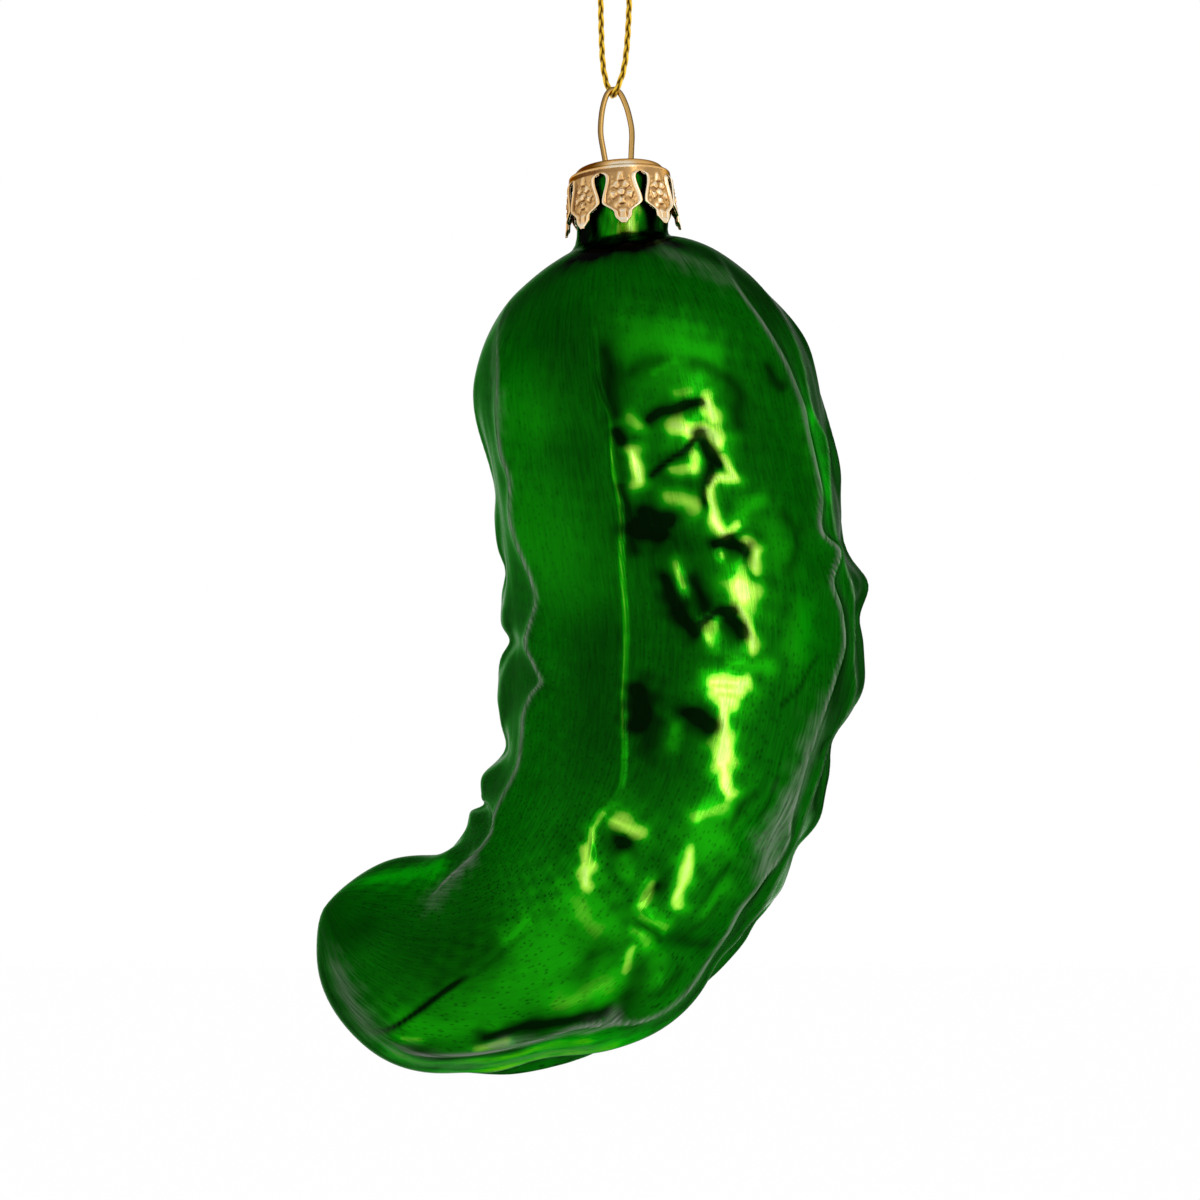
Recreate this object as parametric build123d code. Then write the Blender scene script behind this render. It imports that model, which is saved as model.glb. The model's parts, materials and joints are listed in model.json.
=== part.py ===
from build123d import *
import os
from math import ceil, cos, exp, hypot, pi, radians, sin, tan

# Pickle ornament: a blown glass gherkin under a stamped crown cap, hung by a spring wire and a cord loop.
# Millimetres. The origin is the top of the space inside the cord loop, under its knot. +Z is up, +X is
# towards the outside of the gherkin's bend, and -Y is the front.

# Cord loop and knot
CORD_DIAMETER = 0.74
HANG_DROP = 24.7
KNOT_DIAMETER = 2.6
KNOT_HEIGHT = 2.9
KNOT_TAIL = 4.0
KNOT_TAIL_SPREAD = 0.9
KNOT_TAIL_GAP = 0.07
KNOT_TAIL_DEPTH = 0.6
CORD_BITE = 0.3

# Cord route down the back strand, through the wire's eye and up the front strand: x, y and height
# above the eye's seat. The last point of each strand lies in the knot. Each arc takes this share of
# its shorter run.
ARC_SHARE = 0.45
BACK_STRAND = [
    (-0.45, 0.0, 24.9),
    (-1.35, 0.1, 21.6),
    (-1.58, 0.3, 15.6),
    (-1.52, 0.65, 8.1),
    (-1.25, 1.0, 2.7),
    (-0.12, 1.0, 0.0),
]
FRONT_STRAND = [
    (0.12, -1.0, 0.0),
    (1.30, -1.0, 2.7),
    (1.78, -0.65, 8.1),
    (1.98, -0.3, 15.6),
    (1.50, -0.1, 21.6),
    (0.45, 0.0, 24.9),
]

# Wire hanger
WIRE_DIAMETER = 0.68
EYE_CLEARANCE = 0.06
LOOP_RISE = 9.6
LOOP_TOP_WIDTH = 1.0
LOOP_TOP_RADIUS = 0.62
LOOP_WIDTH = 3.9
LOOP_WIDEST = 4.1
LOOP_SIDE_RADIUS = 6.0
LEG_SPACING = 3.06
LEG_BEND_RADIUS = 4.0
LEG_LENGTH = 18.0
LEG_KNEE_RISE = 1.2
LEG_KNEE_RADIUS = 5.0
LEG_TOE_IN = 0.5
LEG_CLEARANCE = 0.25
HOLE_CLEARANCE = 0.18

# Crown cap
NECK_LEAN = 4.0
SHEET = 0.3
RIM_RADIUS = 6.1
DOME_RADIUS = 5.5
DOME_HEIGHT = 1.45
RIM_ROUND = 0.45
BEAD_RADIUS = 0.63
PETAL_COUNT = 8
PETAL_LENGTH = 6.7
PETAL_FLARE = 0.6
GAP_START = 0.55
GAP_ARCH_RADIUS = 0.7
GAP_WAIST = 0.2
GAP_WAIST_DEPTH = 4.0
TIP_WIDTH = 2.1
TIP_LENGTH = 1.3
TIP_TAPER = 0.12
TIP_ROUND = 0.45
TIP_FLAT = 0.6
GAP_ROUNDS = [2.0, 0.6, 0.4]

# Glass neck
NECK_RADIUS = 5.5
NECK_WALL = 0.95
NECK_LENGTH = 7.35
NECK_SEAT_GAP = 0.3
NECK_COVE = 1.8
COVE_SINK = 0.2

# Glass body: the spine runs straight, then turns through a wide and a tight arc
BODY_LENGTH = 115.6
BODY_WALL = 1.0
CROWN_WALL = 1.8
TOE_WALL = 1.1
BODY_OFFSET = 0.46
BODY_LEAN = 9.6
STRAIGHT_RUN = 40.8
WIDE_BEND_RADIUS = 47.6
WIDE_BEND_ANGLE = 47.8
TIGHT_BEND_RADIUS = 21.6
SHOULDER_WIDTH = 39.7
BELLY_WIDTH = 41.6
BELLY_PLACE = 45.7
TOE_WIDTH = 25.4
DEPTH_RATIO = 0.94
SHOULDER_DOME = 20.9
SHOULDER_POWER = 2.1
SHOULDER_ROOT = 0.48
TOE_DOME = 14.7

# Ridges along the body, each wandering to and fro, with angles from the front towards +X
RIDGE_COUNT = 9
RIDGE_HEIGHT = 2.0
RIDGE_ANGLE = -20.0
CREST_POWER = 1.3
VALLEY_SHARE = 0.4
WANDER = 5.5
WANDER_LENGTH = 16.0
WANDER_TWIST = 5
WANDER_PHASE = 200.0
SHOULDER_FADE = 26.0
TOE_FADE = 20.0
INNER_BEND_FADE = 0.7

# Lumps and dents of the skin: place on the spine, angle, height, length and width
LUMPS = [
    (11.0, -88, 0.8, 7.0, 8.0),
    (29.0, -96, -1.2, 10.0, 7.0),
    (38.0, -99, -0.6, 3.0, 5.0),
    (48.5, -93, -1.2, 3.5, 5.0),
    (57.5, -100, 0.9, 4.0, 6.0),
    (74.5, -100, 1.4, 5.0, 6.0),
    (91.0, -101, 1.6, 6.0, 6.0),
    (104.0, -101, -1.2, 5.0, 5.0),
    (114.0, -108, 1.6, 5.0, 7.0),
    (9.0, 76, -0.7, 7.0, 7.0),
    (21.5, 99, 0.4, 4.0, 5.0),
    (40.5, 90, -0.8, 2.5, 8.0),
    (44.0, 85, 0.8, 2.5, 7.0),
    (53.3, 100, 1.4, 4.5, 6.0),
    (60.0, 85, -1.8, 6.0, 9.0),
    (78.5, 66, -0.8, 2.5, 6.0),
    (84.0, 60, 1.4, 5.5, 6.0),
    (93.5, 64, -1.3, 3.5, 6.0),
    (104.0, 64, 0.9, 5.0, 6.0),
]

# Resolution of the lofted body, and how far its first and last sections stay from the ends of the spine
POINTS_PER_RIDGE = 6
SECTION_STEP = 2.8
SECTION_CROWDING = 0.11
FIRST_SECTION = 0.35
LAST_SECTION = 0.15

LEAN = radians(NECK_LEAN)
UP_NECK = Vector(-sin(LEAN), 0, cos(LEAN))
ACROSS_NECK = Vector(cos(LEAN), 0, sin(LEAN))
WIRE_RADIUS = WIRE_DIAMETER / 2
BORE_RADIUS = NECK_RADIUS - NECK_WALL

# The cord sits in the loop's narrow top where the two sides leave it room
SIDE_SLOPE = (LOOP_WIDTH - LOOP_TOP_WIDTH) / 2 / (LOOP_RISE - LOOP_WIDEST)
CORD_ROOM = (WIRE_DIAMETER + CORD_DIAMETER) / 2 + EYE_CLEARANCE
EYE_SEAT = max(CORD_ROOM, (CORD_ROOM * hypot(1, SIDE_SLOPE) - LOOP_TOP_WIDTH / 2) / SIDE_SLOPE)

EYE = Vector(0, 0, -HANG_DROP)
CAP_CROWN = EYE + UP_NECK * (EYE_SEAT - LOOP_RISE)
RIM_CENTRE = CAP_CROWN - UP_NECK * DOME_HEIGHT
NECK_FOOT = RIM_CENTRE - UP_NECK * NECK_LENGTH
SPINE_START = NECK_FOOT - Vector(BODY_OFFSET, 0, 0)

# Frame of the cap: its Z is the neck's axis and its origin the centre of the rim
CAP_FRAME = Plane(origin=RIM_CENTRE, x_dir=ACROSS_NECK, z_dir=UP_NECK)


def ease(t):
    """Smooth step from 0 to 1, flat at both ends."""
    t = min(max(t, 0.0), 1.0)
    return t * t * (3 - 2 * t)


def tube(points, radii, diameter):
    """Round tube along straight runs joined by tangent arcs."""
    path = FilletPolyline(*points, radius=radii)
    mouth = Plane(origin=path @ 0, z_dir=path % 0) * Circle(diameter / 2)
    return sweep(mouth, path=path), path


def spine_turn(s):
    """Heading of the spine at length s, in radians from straight down, positive towards +X."""
    wide_length = WIDE_BEND_RADIUS * radians(WIDE_BEND_ANGLE)
    in_wide = min(max(s - STRAIGHT_RUN, 0.0), wide_length)
    in_tight = max(s - STRAIGHT_RUN - wide_length, 0.0)
    return radians(BODY_LEAN) - in_wide / WIDE_BEND_RADIUS - in_tight / TIGHT_BEND_RADIUS


def arc_step(start, heading, radius, length):
    """Point reached from start along an arc that turns towards -X."""
    end = heading - length / radius
    return start + Vector(cos(end) - cos(heading), 0, sin(end) - sin(heading)) * radius


def spine_point(s):
    """Point on the spine at length s below the neck's foot."""
    lean = radians(BODY_LEAN)
    run = min(s, STRAIGHT_RUN)
    point = SPINE_START + Vector(sin(lean), 0, -cos(lean)) * run
    wide_length = WIDE_BEND_RADIUS * radians(WIDE_BEND_ANGLE)
    if s > STRAIGHT_RUN:
        point = arc_step(point, lean, WIDE_BEND_RADIUS, min(s - STRAIGHT_RUN, wide_length))
    if s > STRAIGHT_RUN + wide_length:
        turned = spine_turn(STRAIGHT_RUN + wide_length)
        point = arc_step(point, turned, TIGHT_BEND_RADIUS, s - STRAIGHT_RUN - wide_length)
    return point


def half_width(s):
    """Half width across the spine: shoulder, belly and toe, closed by a dome at each end."""
    shoulder, belly, toe = SHOULDER_WIDTH / 2, BELLY_WIDTH / 2, TOE_WIDTH / 2
    if s < BELLY_PLACE:
        width = shoulder + (belly - shoulder) * ease(s / BELLY_PLACE)
    else:
        width = belly + (toe - belly) * ease((s - BELLY_PLACE) / (BODY_LENGTH - BELLY_PLACE))
    from_neck = max(1 - s / SHOULDER_DOME, 0.0)
    from_toe = min(max(1 - (BODY_LENGTH - s) / TOE_DOME, 0.0), 1.0)
    return width * (1 - from_neck**SHOULDER_POWER) ** SHOULDER_ROOT * (1 - from_toe**2) ** 0.5


def ridge(s, angle):
    """Height of the ridged skin over the plain section. Crests wander, and fade at both ends."""
    sway = 2 * pi * s / WANDER_LENGTH + WANDER_TWIST * angle + radians(WANDER_PHASE)
    phase = RIDGE_COUNT * (angle - radians(RIDGE_ANGLE) - radians(WANDER) * sin(sway))
    crest = ((1 + cos(phase)) / 2) ** CREST_POWER
    inside = max(-sin(angle), 0.0) * ease((s - STRAIGHT_RUN) / (BODY_LENGTH - STRAIGHT_RUN))
    fade = ease(s / SHOULDER_FADE) * ease((BODY_LENGTH - s) / TOE_FADE) * (1 - INNER_BEND_FADE * inside)
    return RIDGE_HEIGHT * fade * (crest - VALLEY_SHARE)


def lumps(s, angle):
    """Height of the skin's lumps and dents, each a bell shape about its place."""
    height = 0.0
    for place, towards, rise, length, width in LUMPS:
        apart = 2 * sin((angle - radians(towards)) / 2) * half_width(s)
        height += rise * exp(-(((s - place) / length) ** 2) - (apart / width) ** 2)
    return height


def skin_point(s, angle, inset):
    """Point of the skin at length s and an angle from the front towards +X, moved in by inset."""
    turn = spine_turn(s)
    lift = ridge(s, angle) + lumps(s, angle) - inset
    across = sin(angle) * (half_width(s) + lift)
    forward = cos(angle) * (half_width(s) * DEPTH_RATIO + lift)
    return spine_point(s) + Vector(across * cos(turn), -forward, across * sin(turn))


def body_section(s, inset):
    """Closed outline of the body across its spine: one spline for each ridge, tangent to the next."""
    pitch = 2 * pi / RIDGE_COUNT
    step = pitch / POINTS_PER_RIDGE
    edges = []
    for ridge_number in range(RIDGE_COUNT):
        angles = [ridge_number * pitch + i * step for i in range(POINTS_PER_RIDGE)]
        angles.append((ridge_number + 1) % RIDGE_COUNT * pitch)
        points = [skin_point(s, angle, inset) for angle in angles]
        ends = (angles[0], angles[-1])
        tangents = [skin_point(s, a + step / 4, inset) - skin_point(s, a - step / 4, inset) for a in ends]
        edges.append(Edge.make_spline(points, tangents=tangents, parameters=list(range(len(points)))))
    return Wire(edges)


def body_loft(first, last, inset):
    """Body between two places on the spine, with its sections closer together in the end domes."""
    count = ceil((last - first) / SECTION_STEP)
    places = []
    for i in range(count + 1):
        t = i / count
        places.append(first + (last - first) * (t - SECTION_CROWDING * sin(2 * pi * t)))
    return Solid.make_loft([body_section(s, inset) for s in places])


def make_glass():
    """Hollow blown shell with a tubular neck."""
    outside = body_loft(FIRST_SECTION, BODY_LENGTH - LAST_SECTION, 0)
    inside = body_loft(CROWN_WALL, BODY_LENGTH - TOE_WALL, BODY_WALL)
    top = -NECK_SEAT_GAP
    foot = -NECK_LENGTH - NECK_COVE - COVE_SINK
    with BuildSketch(Plane.XZ) as wall:
        with BuildLine():
            side = Line((NECK_RADIUS, top), (NECK_RADIUS, foot + NECK_COVE))
            cove = RadiusArc(side @ 1, (NECK_RADIUS + NECK_COVE, foot), NECK_COVE)
            Polyline(cove @ 1, (0, foot), (0, top), side @ 0)
        make_face()
    neck = CAP_FRAME * revolve(wall.sketch, Axis.Z)
    drill = Pos(0, 0, -NECK_LENGTH) * Cylinder(BORE_RADIUS, 2 * NECK_LENGTH + 4 * BODY_WALL)
    return outside + neck - inside - CAP_FRAME * drill


def petal_gap():
    """Opening between two petals, flat, with the rim at y = 0 and the petals running down."""
    half_pitch = (RIM_RADIUS + PETAL_FLARE) * sin(pi / PETAL_COUNT)
    arch = -GAP_START - GAP_ARCH_RADIUS
    waist = (GAP_WAIST / 2, -GAP_WAIST_DEPTH)
    shoulder = (half_pitch - TIP_WIDTH / 2, -PETAL_LENGTH + TIP_LENGTH)
    tip_side = (half_pitch - TIP_WIDTH / 2 + TIP_TAPER, -PETAL_LENGTH + TIP_ROUND)
    tip = (half_pitch - TIP_FLAT / 2, -PETAL_LENGTH)
    below = -PETAL_LENGTH - GAP_ARCH_RADIUS
    with BuildSketch() as gap:
        with BuildLine() as edge:
            RadiusArc((0, -GAP_START), (GAP_ARCH_RADIUS, arch), GAP_ARCH_RADIUS)
            FilletPolyline((GAP_ARCH_RADIUS, arch), waist, shoulder, tip_side, tip, radius=GAP_ROUNDS)
            Polyline(tip, (half_pitch - TIP_FLAT / 2, below), (0, below))
            mirror(edge.line, Plane.YZ)
        make_face()
    return gap.sketch


def make_cap():
    """Stamped cap: a dome and rim revolved from sheet, cut into petals, with two holes for the wire."""
    skirt = (RIM_RADIUS + PETAL_FLARE, -PETAL_LENGTH)
    rise = DOME_HEIGHT - RIM_ROUND
    dome_sphere = (DOME_RADIUS**2 + rise**2) / (2 * rise)
    dome_centre = DOME_HEIGHT - dome_sphere
    under_edge = (DOME_RADIUS - SHEET, dome_centre + ((dome_sphere - SHEET) ** 2 - (DOME_RADIUS - SHEET) ** 2) ** 0.5)
    with BuildSketch(Plane.XZ) as sheet:
        with BuildLine():
            dome = RadiusArc((0, DOME_HEIGHT), (DOME_RADIUS, RIM_ROUND), dome_sphere)
            bead = RadiusArc(dome @ 1, (RIM_RADIUS, 0), BEAD_RADIUS)
            Polyline(bead @ 1, skirt, (skirt[0] - SHEET, skirt[1]), (RIM_RADIUS - SHEET, -SHEET), under_edge)
            under = RadiusArc(under_edge, (0, DOME_HEIGHT - SHEET), -(dome_sphere - SHEET))
            Line(under @ 1, (0, DOME_HEIGHT))
        make_face()
    cap = revolve(sheet.sketch, Axis.Z)
    cutter = extrude(Plane.XZ * petal_gap(), 2 * RIM_RADIUS)
    for i in range(PETAL_COUNT):
        cap -= Rot(0, 0, (i + 0.5) * 360 / PETAL_COUNT) * cutter
    hole_radius = WIRE_RADIUS + HOLE_CLEARANCE
    hole = Cylinder(hole_radius, 2 * DOME_HEIGHT)
    for side in (-1, 1):
        cap -= Pos(side * LEG_SPACING / 2, 0, DOME_HEIGHT) * hole
    return CAP_FRAME * cap


def make_wire():
    """One bent spring wire: a pointed loop above the cap and two legs that spread inside the neck."""
    top = DOME_HEIGHT + LOOP_RISE
    leg_spread = BORE_RADIUS - WIRE_RADIUS - LEG_CLEARANCE
    side = [
        (leg_spread - LEG_TOE_IN, DOME_HEIGHT - LEG_LENGTH),
        (leg_spread, LEG_KNEE_RISE - NECK_LENGTH),
        (LEG_SPACING / 2, DOME_HEIGHT - 2 * SHEET),
        (LOOP_WIDTH / 2, DOME_HEIGHT + LOOP_WIDEST),
        (LOOP_TOP_WIDTH / 2, top),
    ]
    route = [(-x, 0, z) for x, z in side] + [(x, 0, z) for x, z in reversed(side)]
    half = [LEG_KNEE_RADIUS, LEG_BEND_RADIUS, LOOP_SIDE_RADIUS, LOOP_TOP_RADIUS]
    wire, path = tube(route, half + half[::-1], WIRE_DIAMETER)
    return CAP_FRAME * wire


def make_cord():
    """Cord from the knot, down through the wire's eye and up to the knot again."""
    route = [EYE + Vector(*point) for point in BACK_STRAND + FRONT_STRAND]
    radii = []
    for before, here, after in zip(route, route[1:], route[2:]):
        turn = (here - before).get_angle(after - here)
        shorter = min((here - before).length, (after - here).length)
        radii.append(ARC_SHARE * shorter / tan(radians(turn / 2)))
    cord, path = tube(route, radii, CORD_DIAMETER)
    print("cord radii", [round(r, 2) for r in radii])
    print("cord length", round(path.length, 2), "volume", round(cord.volume, 3),
          "section times length", round(pi * CORD_DIAMETER**2 / 4 * path.length, 3))
    return cord


def make_knot():
    """Overhand knot drawn up into a barrel, with the two tails of the cord above it."""
    start = EYE.Z + BACK_STRAND[0][2] - CORD_BITE
    radius = KNOT_DIAMETER / 2
    neck = CORD_DIAMETER
    tail_place = (CORD_DIAMETER + KNOT_TAIL_GAP) / 2
    with BuildSketch(Plane.XZ) as barrel:
        with BuildLine():
            lower = Line((0, start), (neck, start))
            swell = ThreePointArc(lower @ 1, (radius, start + KNOT_HEIGHT / 2), (neck, start + KNOT_HEIGHT))
            Polyline(swell @ 1, (0, start + KNOT_HEIGHT), (0, start))
        make_face()
    knot = revolve(barrel.sketch, Axis.Z)
    foot = start + KNOT_HEIGHT - KNOT_TAIL_DEPTH
    for side in (-1, 1):
        tail_foot = Vector(side * tail_place, 0, foot)
        tail_end = Vector(side * (tail_place + KNOT_TAIL_SPREAD), 0, foot + KNOT_TAIL)
        tail = Plane(origin=tail_foot, z_dir=tail_end - tail_foot) * Circle(CORD_DIAMETER / 2)
        knot += extrude(tail, (tail_end - tail_foot).length)
    return knot


os.makedirs("parts", exist_ok=True)
PIECES = {
    "glass_pickle": make_glass,
    "crown_cap": make_cap,
    "wire_hanger": make_wire,
    "hang_cord": make_cord,
    "cord_knot": make_knot,
}
for name, make in PIECES.items():
    piece = make()
    export_step(piece, f"parts/{name}.step")
    box = piece.bounding_box()
    print(name, len(piece.solids()), "solid", round(piece.volume, 2), "mm3", box.min, box.max)
print("rim centre", RIM_CENTRE, "neck foot", NECK_FOOT, "eye seat", round(EYE_SEAT, 3))
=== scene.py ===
import json

import bpy
import numpy as np
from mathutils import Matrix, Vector


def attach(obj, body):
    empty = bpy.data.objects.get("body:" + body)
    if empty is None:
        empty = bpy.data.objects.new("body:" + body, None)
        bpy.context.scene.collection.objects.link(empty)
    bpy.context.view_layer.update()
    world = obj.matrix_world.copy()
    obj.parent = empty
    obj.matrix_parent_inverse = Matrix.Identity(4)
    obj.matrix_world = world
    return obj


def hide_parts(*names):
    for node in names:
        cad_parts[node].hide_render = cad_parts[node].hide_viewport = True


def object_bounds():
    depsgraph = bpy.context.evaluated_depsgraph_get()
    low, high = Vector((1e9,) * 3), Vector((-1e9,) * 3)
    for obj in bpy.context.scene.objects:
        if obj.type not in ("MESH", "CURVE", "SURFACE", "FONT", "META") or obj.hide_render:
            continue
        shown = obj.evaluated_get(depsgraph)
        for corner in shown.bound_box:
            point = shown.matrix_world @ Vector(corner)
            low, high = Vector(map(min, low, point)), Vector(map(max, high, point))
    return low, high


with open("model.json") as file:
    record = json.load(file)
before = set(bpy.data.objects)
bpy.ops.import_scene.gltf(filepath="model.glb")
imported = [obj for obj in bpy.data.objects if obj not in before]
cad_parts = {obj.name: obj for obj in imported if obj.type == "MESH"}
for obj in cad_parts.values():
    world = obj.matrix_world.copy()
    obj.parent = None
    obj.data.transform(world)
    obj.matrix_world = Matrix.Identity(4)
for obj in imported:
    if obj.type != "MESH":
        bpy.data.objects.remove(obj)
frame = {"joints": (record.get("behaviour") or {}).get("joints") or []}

bl_info = {
    "name": "Pickle Ornament",
    "version": (1, 0, 0),
    "blender": (4, 5, 0),
    "location": "View3D > Sidebar > Pickle",
    "description": "Builds a lacquered glass pickle with its crown cap, wire hanger, cord and studio",
    "category": "Object",
}

MM = 0.001
DEGREE = np.pi / 180
CAD_BOX = [list(corner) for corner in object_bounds()]

# Joint places that the frame gives: the wire's eye and the direction in which the glass leaves the cap
JOINTS = {joint["name"]: joint for joint in frame["joints"]}
EYE = np.array(JOINTS["swing"]["pos_m"], float)
DOWN_NECK = np.array(JOINTS["pull_off"]["axis"], float)
UP_NECK = -DOWN_NECK
FRONT = np.array([0.0, -1.0, 0.0])
ACROSS_NECK = np.cross(UP_NECK, FRONT)
if ACROSS_NECK[0] < 0:
    ACROSS_NECK = -ACROSS_NECK

# Cord route down the back strand, through the eye and up the front strand: x, y and height
# over the eye, in mm
CORD_ROUTE = [
    (-0.45, 0.0, 24.9),
    (-1.35, 0.1, 21.6),
    (-1.58, 0.3, 15.6),
    (-1.52, 0.65, 8.1),
    (-1.25, 1.0, 2.7),
    (-0.12, 1.0, 0.0),
    (0.12, -1.0, 0.0),
    (1.30, -1.0, 2.7),
    (1.78, -0.65, 8.1),
    (1.98, -0.3, 15.6),
    (1.50, -0.1, 21.6),
    (0.45, 0.0, 24.9),
]

# One side of the wire: depth below the loop's top and half width, in mm
WIRE_SIDE = [
    (0.0, 0.0),
    (0.20, 0.52),
    (0.95, 1.02),
    (2.50, 1.52),
    (4.40, 1.83),
    (5.70, 1.85),
    (7.20, 1.69),
    (9.00, 1.54),
    (10.6, 1.75),
    (13.4, 2.85),
    (16.3, 3.72),
    (18.4, 3.88),
    (22.0, 3.72),
    (27.2, 3.46),
]

# Lumps and dents that shape the outline: place along the spine and angle from the front, then height,
# length and width, in mm and degrees
LUMPS = [
    (11.0, -88, 0.8, 7.0, 8.0),
    (29.0, -96, -1.2, 10.0, 7.0),
    (36.8, -99, -0.7, 2.0, 5.0),
    (42.0, -97, 0.7, 3.0, 6.0),
    (48.7, -93, -1.1, 2.5, 6.0),
    (57.5, -98, 1.3, 5.0, 6.0),
    (70.5, -95, -0.8, 3.0, 6.0),
    (76.8, -99, 1.1, 3.6, 6.0),
    (82.3, -97, -0.4, 2.6, 6.0),
    (89.5, -100, 1.5, 4.5, 6.0),
    (104.0, -101, -1.2, 5.0, 5.0),
    (114.0, -108, 1.6, 5.0, 7.0),
    (9.0, 76, -0.7, 7.0, 7.0),
    (21.5, 99, 0.4, 4.0, 5.0),
    (40.5, 90, -0.8, 2.5, 8.0),
    (44.0, 88, 1.3, 1.6, 7.0),
    (47.0, 88, -0.5, 1.3, 7.0),
    (52.6, 95, 1.6, 3.0, 7.0),
    (57.4, 88, -1.2, 2.0, 8.0),
    (60.0, 85, -1.2, 6.0, 9.0),
    (64.0, 84, 0.5, 1.6, 6.0),
    (67.2, 84, -0.5, 1.2, 6.0),
    (71.0, 84, 0.6, 1.8, 6.0),
    (74.6, 84, -0.5, 1.2, 6.0),
    (78.5, 66, -0.8, 2.5, 6.0),
    (84.0, 60, 1.4, 5.5, 6.0),
    (93.5, 64, -1.3, 3.5, 6.0),
    (104.0, 64, 0.9, 5.0, 6.0),
]

# Warts and hollows of the front: as above, then the slant of the long axis away from the spine
WARTS = [
    (21.5, 9, 0.60, 4.2, 6.5, 0),
    (23.0, 6.5, -0.25, 0.7, 3.0, 20),
    (23.0, -11.5, 0.45, 1.6, 1.2, 0),
    (28.2, -12.6, 0.85, 2.8, 1.5, 0),
    (25.2, 6, 0.35, 1.2, 2.0, 0),
    (28.6, 12.5, -0.42, 1.7, 1.7, 10),
    (28.3, 5, -0.18, 0.6, 3.2, 32),
    (33.2, -1, 0.45, 1.5, 1.8, 0),
    (34.0, 10, 0.50, 2.6, 1.9, 0),
    (36.2, -1, -0.60, 2.2, 3.4, 0),
    (39.0, 21.5, 0.60, 1.5, 2.2, 0),
    (39.5, 13.5, -0.30, 0.7, 0.8, 0),
    (41.2, -3.5, 0.40, 2.2, 1.1, 0),
    (43.0, 4, -0.40, 2.2, 2.0, 0),
    (46.8, 10, -0.65, 1.7, 2.0, 0),
    (50.4, 17, 0.45, 0.8, 3.4, 0),
    (53.5, -2, 0.80, 3.2, 4.0, 0),
    (57.0, -9, -0.60, 3.8, 3.2, 0),
    (57.0, 3, -0.30, 1.2, 2.2, 0),
    (58.6, -4.5, 0.40, 1.1, 0.9, 0),
    (70.7, -9, 0.70, 1.1, 2.4, 0),
    (72.8, -5, -0.60, 1.0, 1.1, 0),
    (77.0, -14, 0.55, 2.2, 1.2, 0),
    (67.4, 14, 0.40, 1.6, 2.4, 0),
    (72.5, 15, 0.40, 3.4, 1.1, 8),
    (75.2, 14, -0.45, 1.6, 0.9, 0),
    (76.4, 8, 0.35, 1.6, 1.0, 0),
    (78.2, 20, 0.45, 0.8, 3.2, 0),
    (80.3, 22, 0.35, 0.9, 2.4, 0),
    (83.2, 20.5, 0.45, 1.8, 1.0, 0),
    (85.5, 14, -0.60, 2.6, 2.4, 0),
    (82.0, 0, 0.50, 2.6, 3.4, 0),
    (88.0, 27, 0.60, 4.0, 3.0, 0),
    (47.0, 34, 0.35, 3.0, 2.4, 0),
    (62.0, 36, 0.40, 3.0, 2.2, 0),
    (55.0, 42, 0.35, 2.6, 2.0, 0),
    (33.0, 36, 0.30, 4.0, 2.4, 0),
    (67.0, 38, -0.35, 2.4, 2.4, 0),
    (71.0, 46, 0.45, 2.0, 1.7, 0),
    (76.0, 42, 0.55, 2.0, 2.0, 0),
    (79.6, 38, -0.50, 1.3, 2.6, 0),
    (83.0, 45, 0.55, 2.0, 2.0, 0),
    (86.2, 36, -0.45, 1.6, 2.0, 0),
    (89.0, 50, 0.55, 2.4, 2.2, 0),
    (94.5, 55, 0.50, 2.2, 2.4, 0),
]

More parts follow.
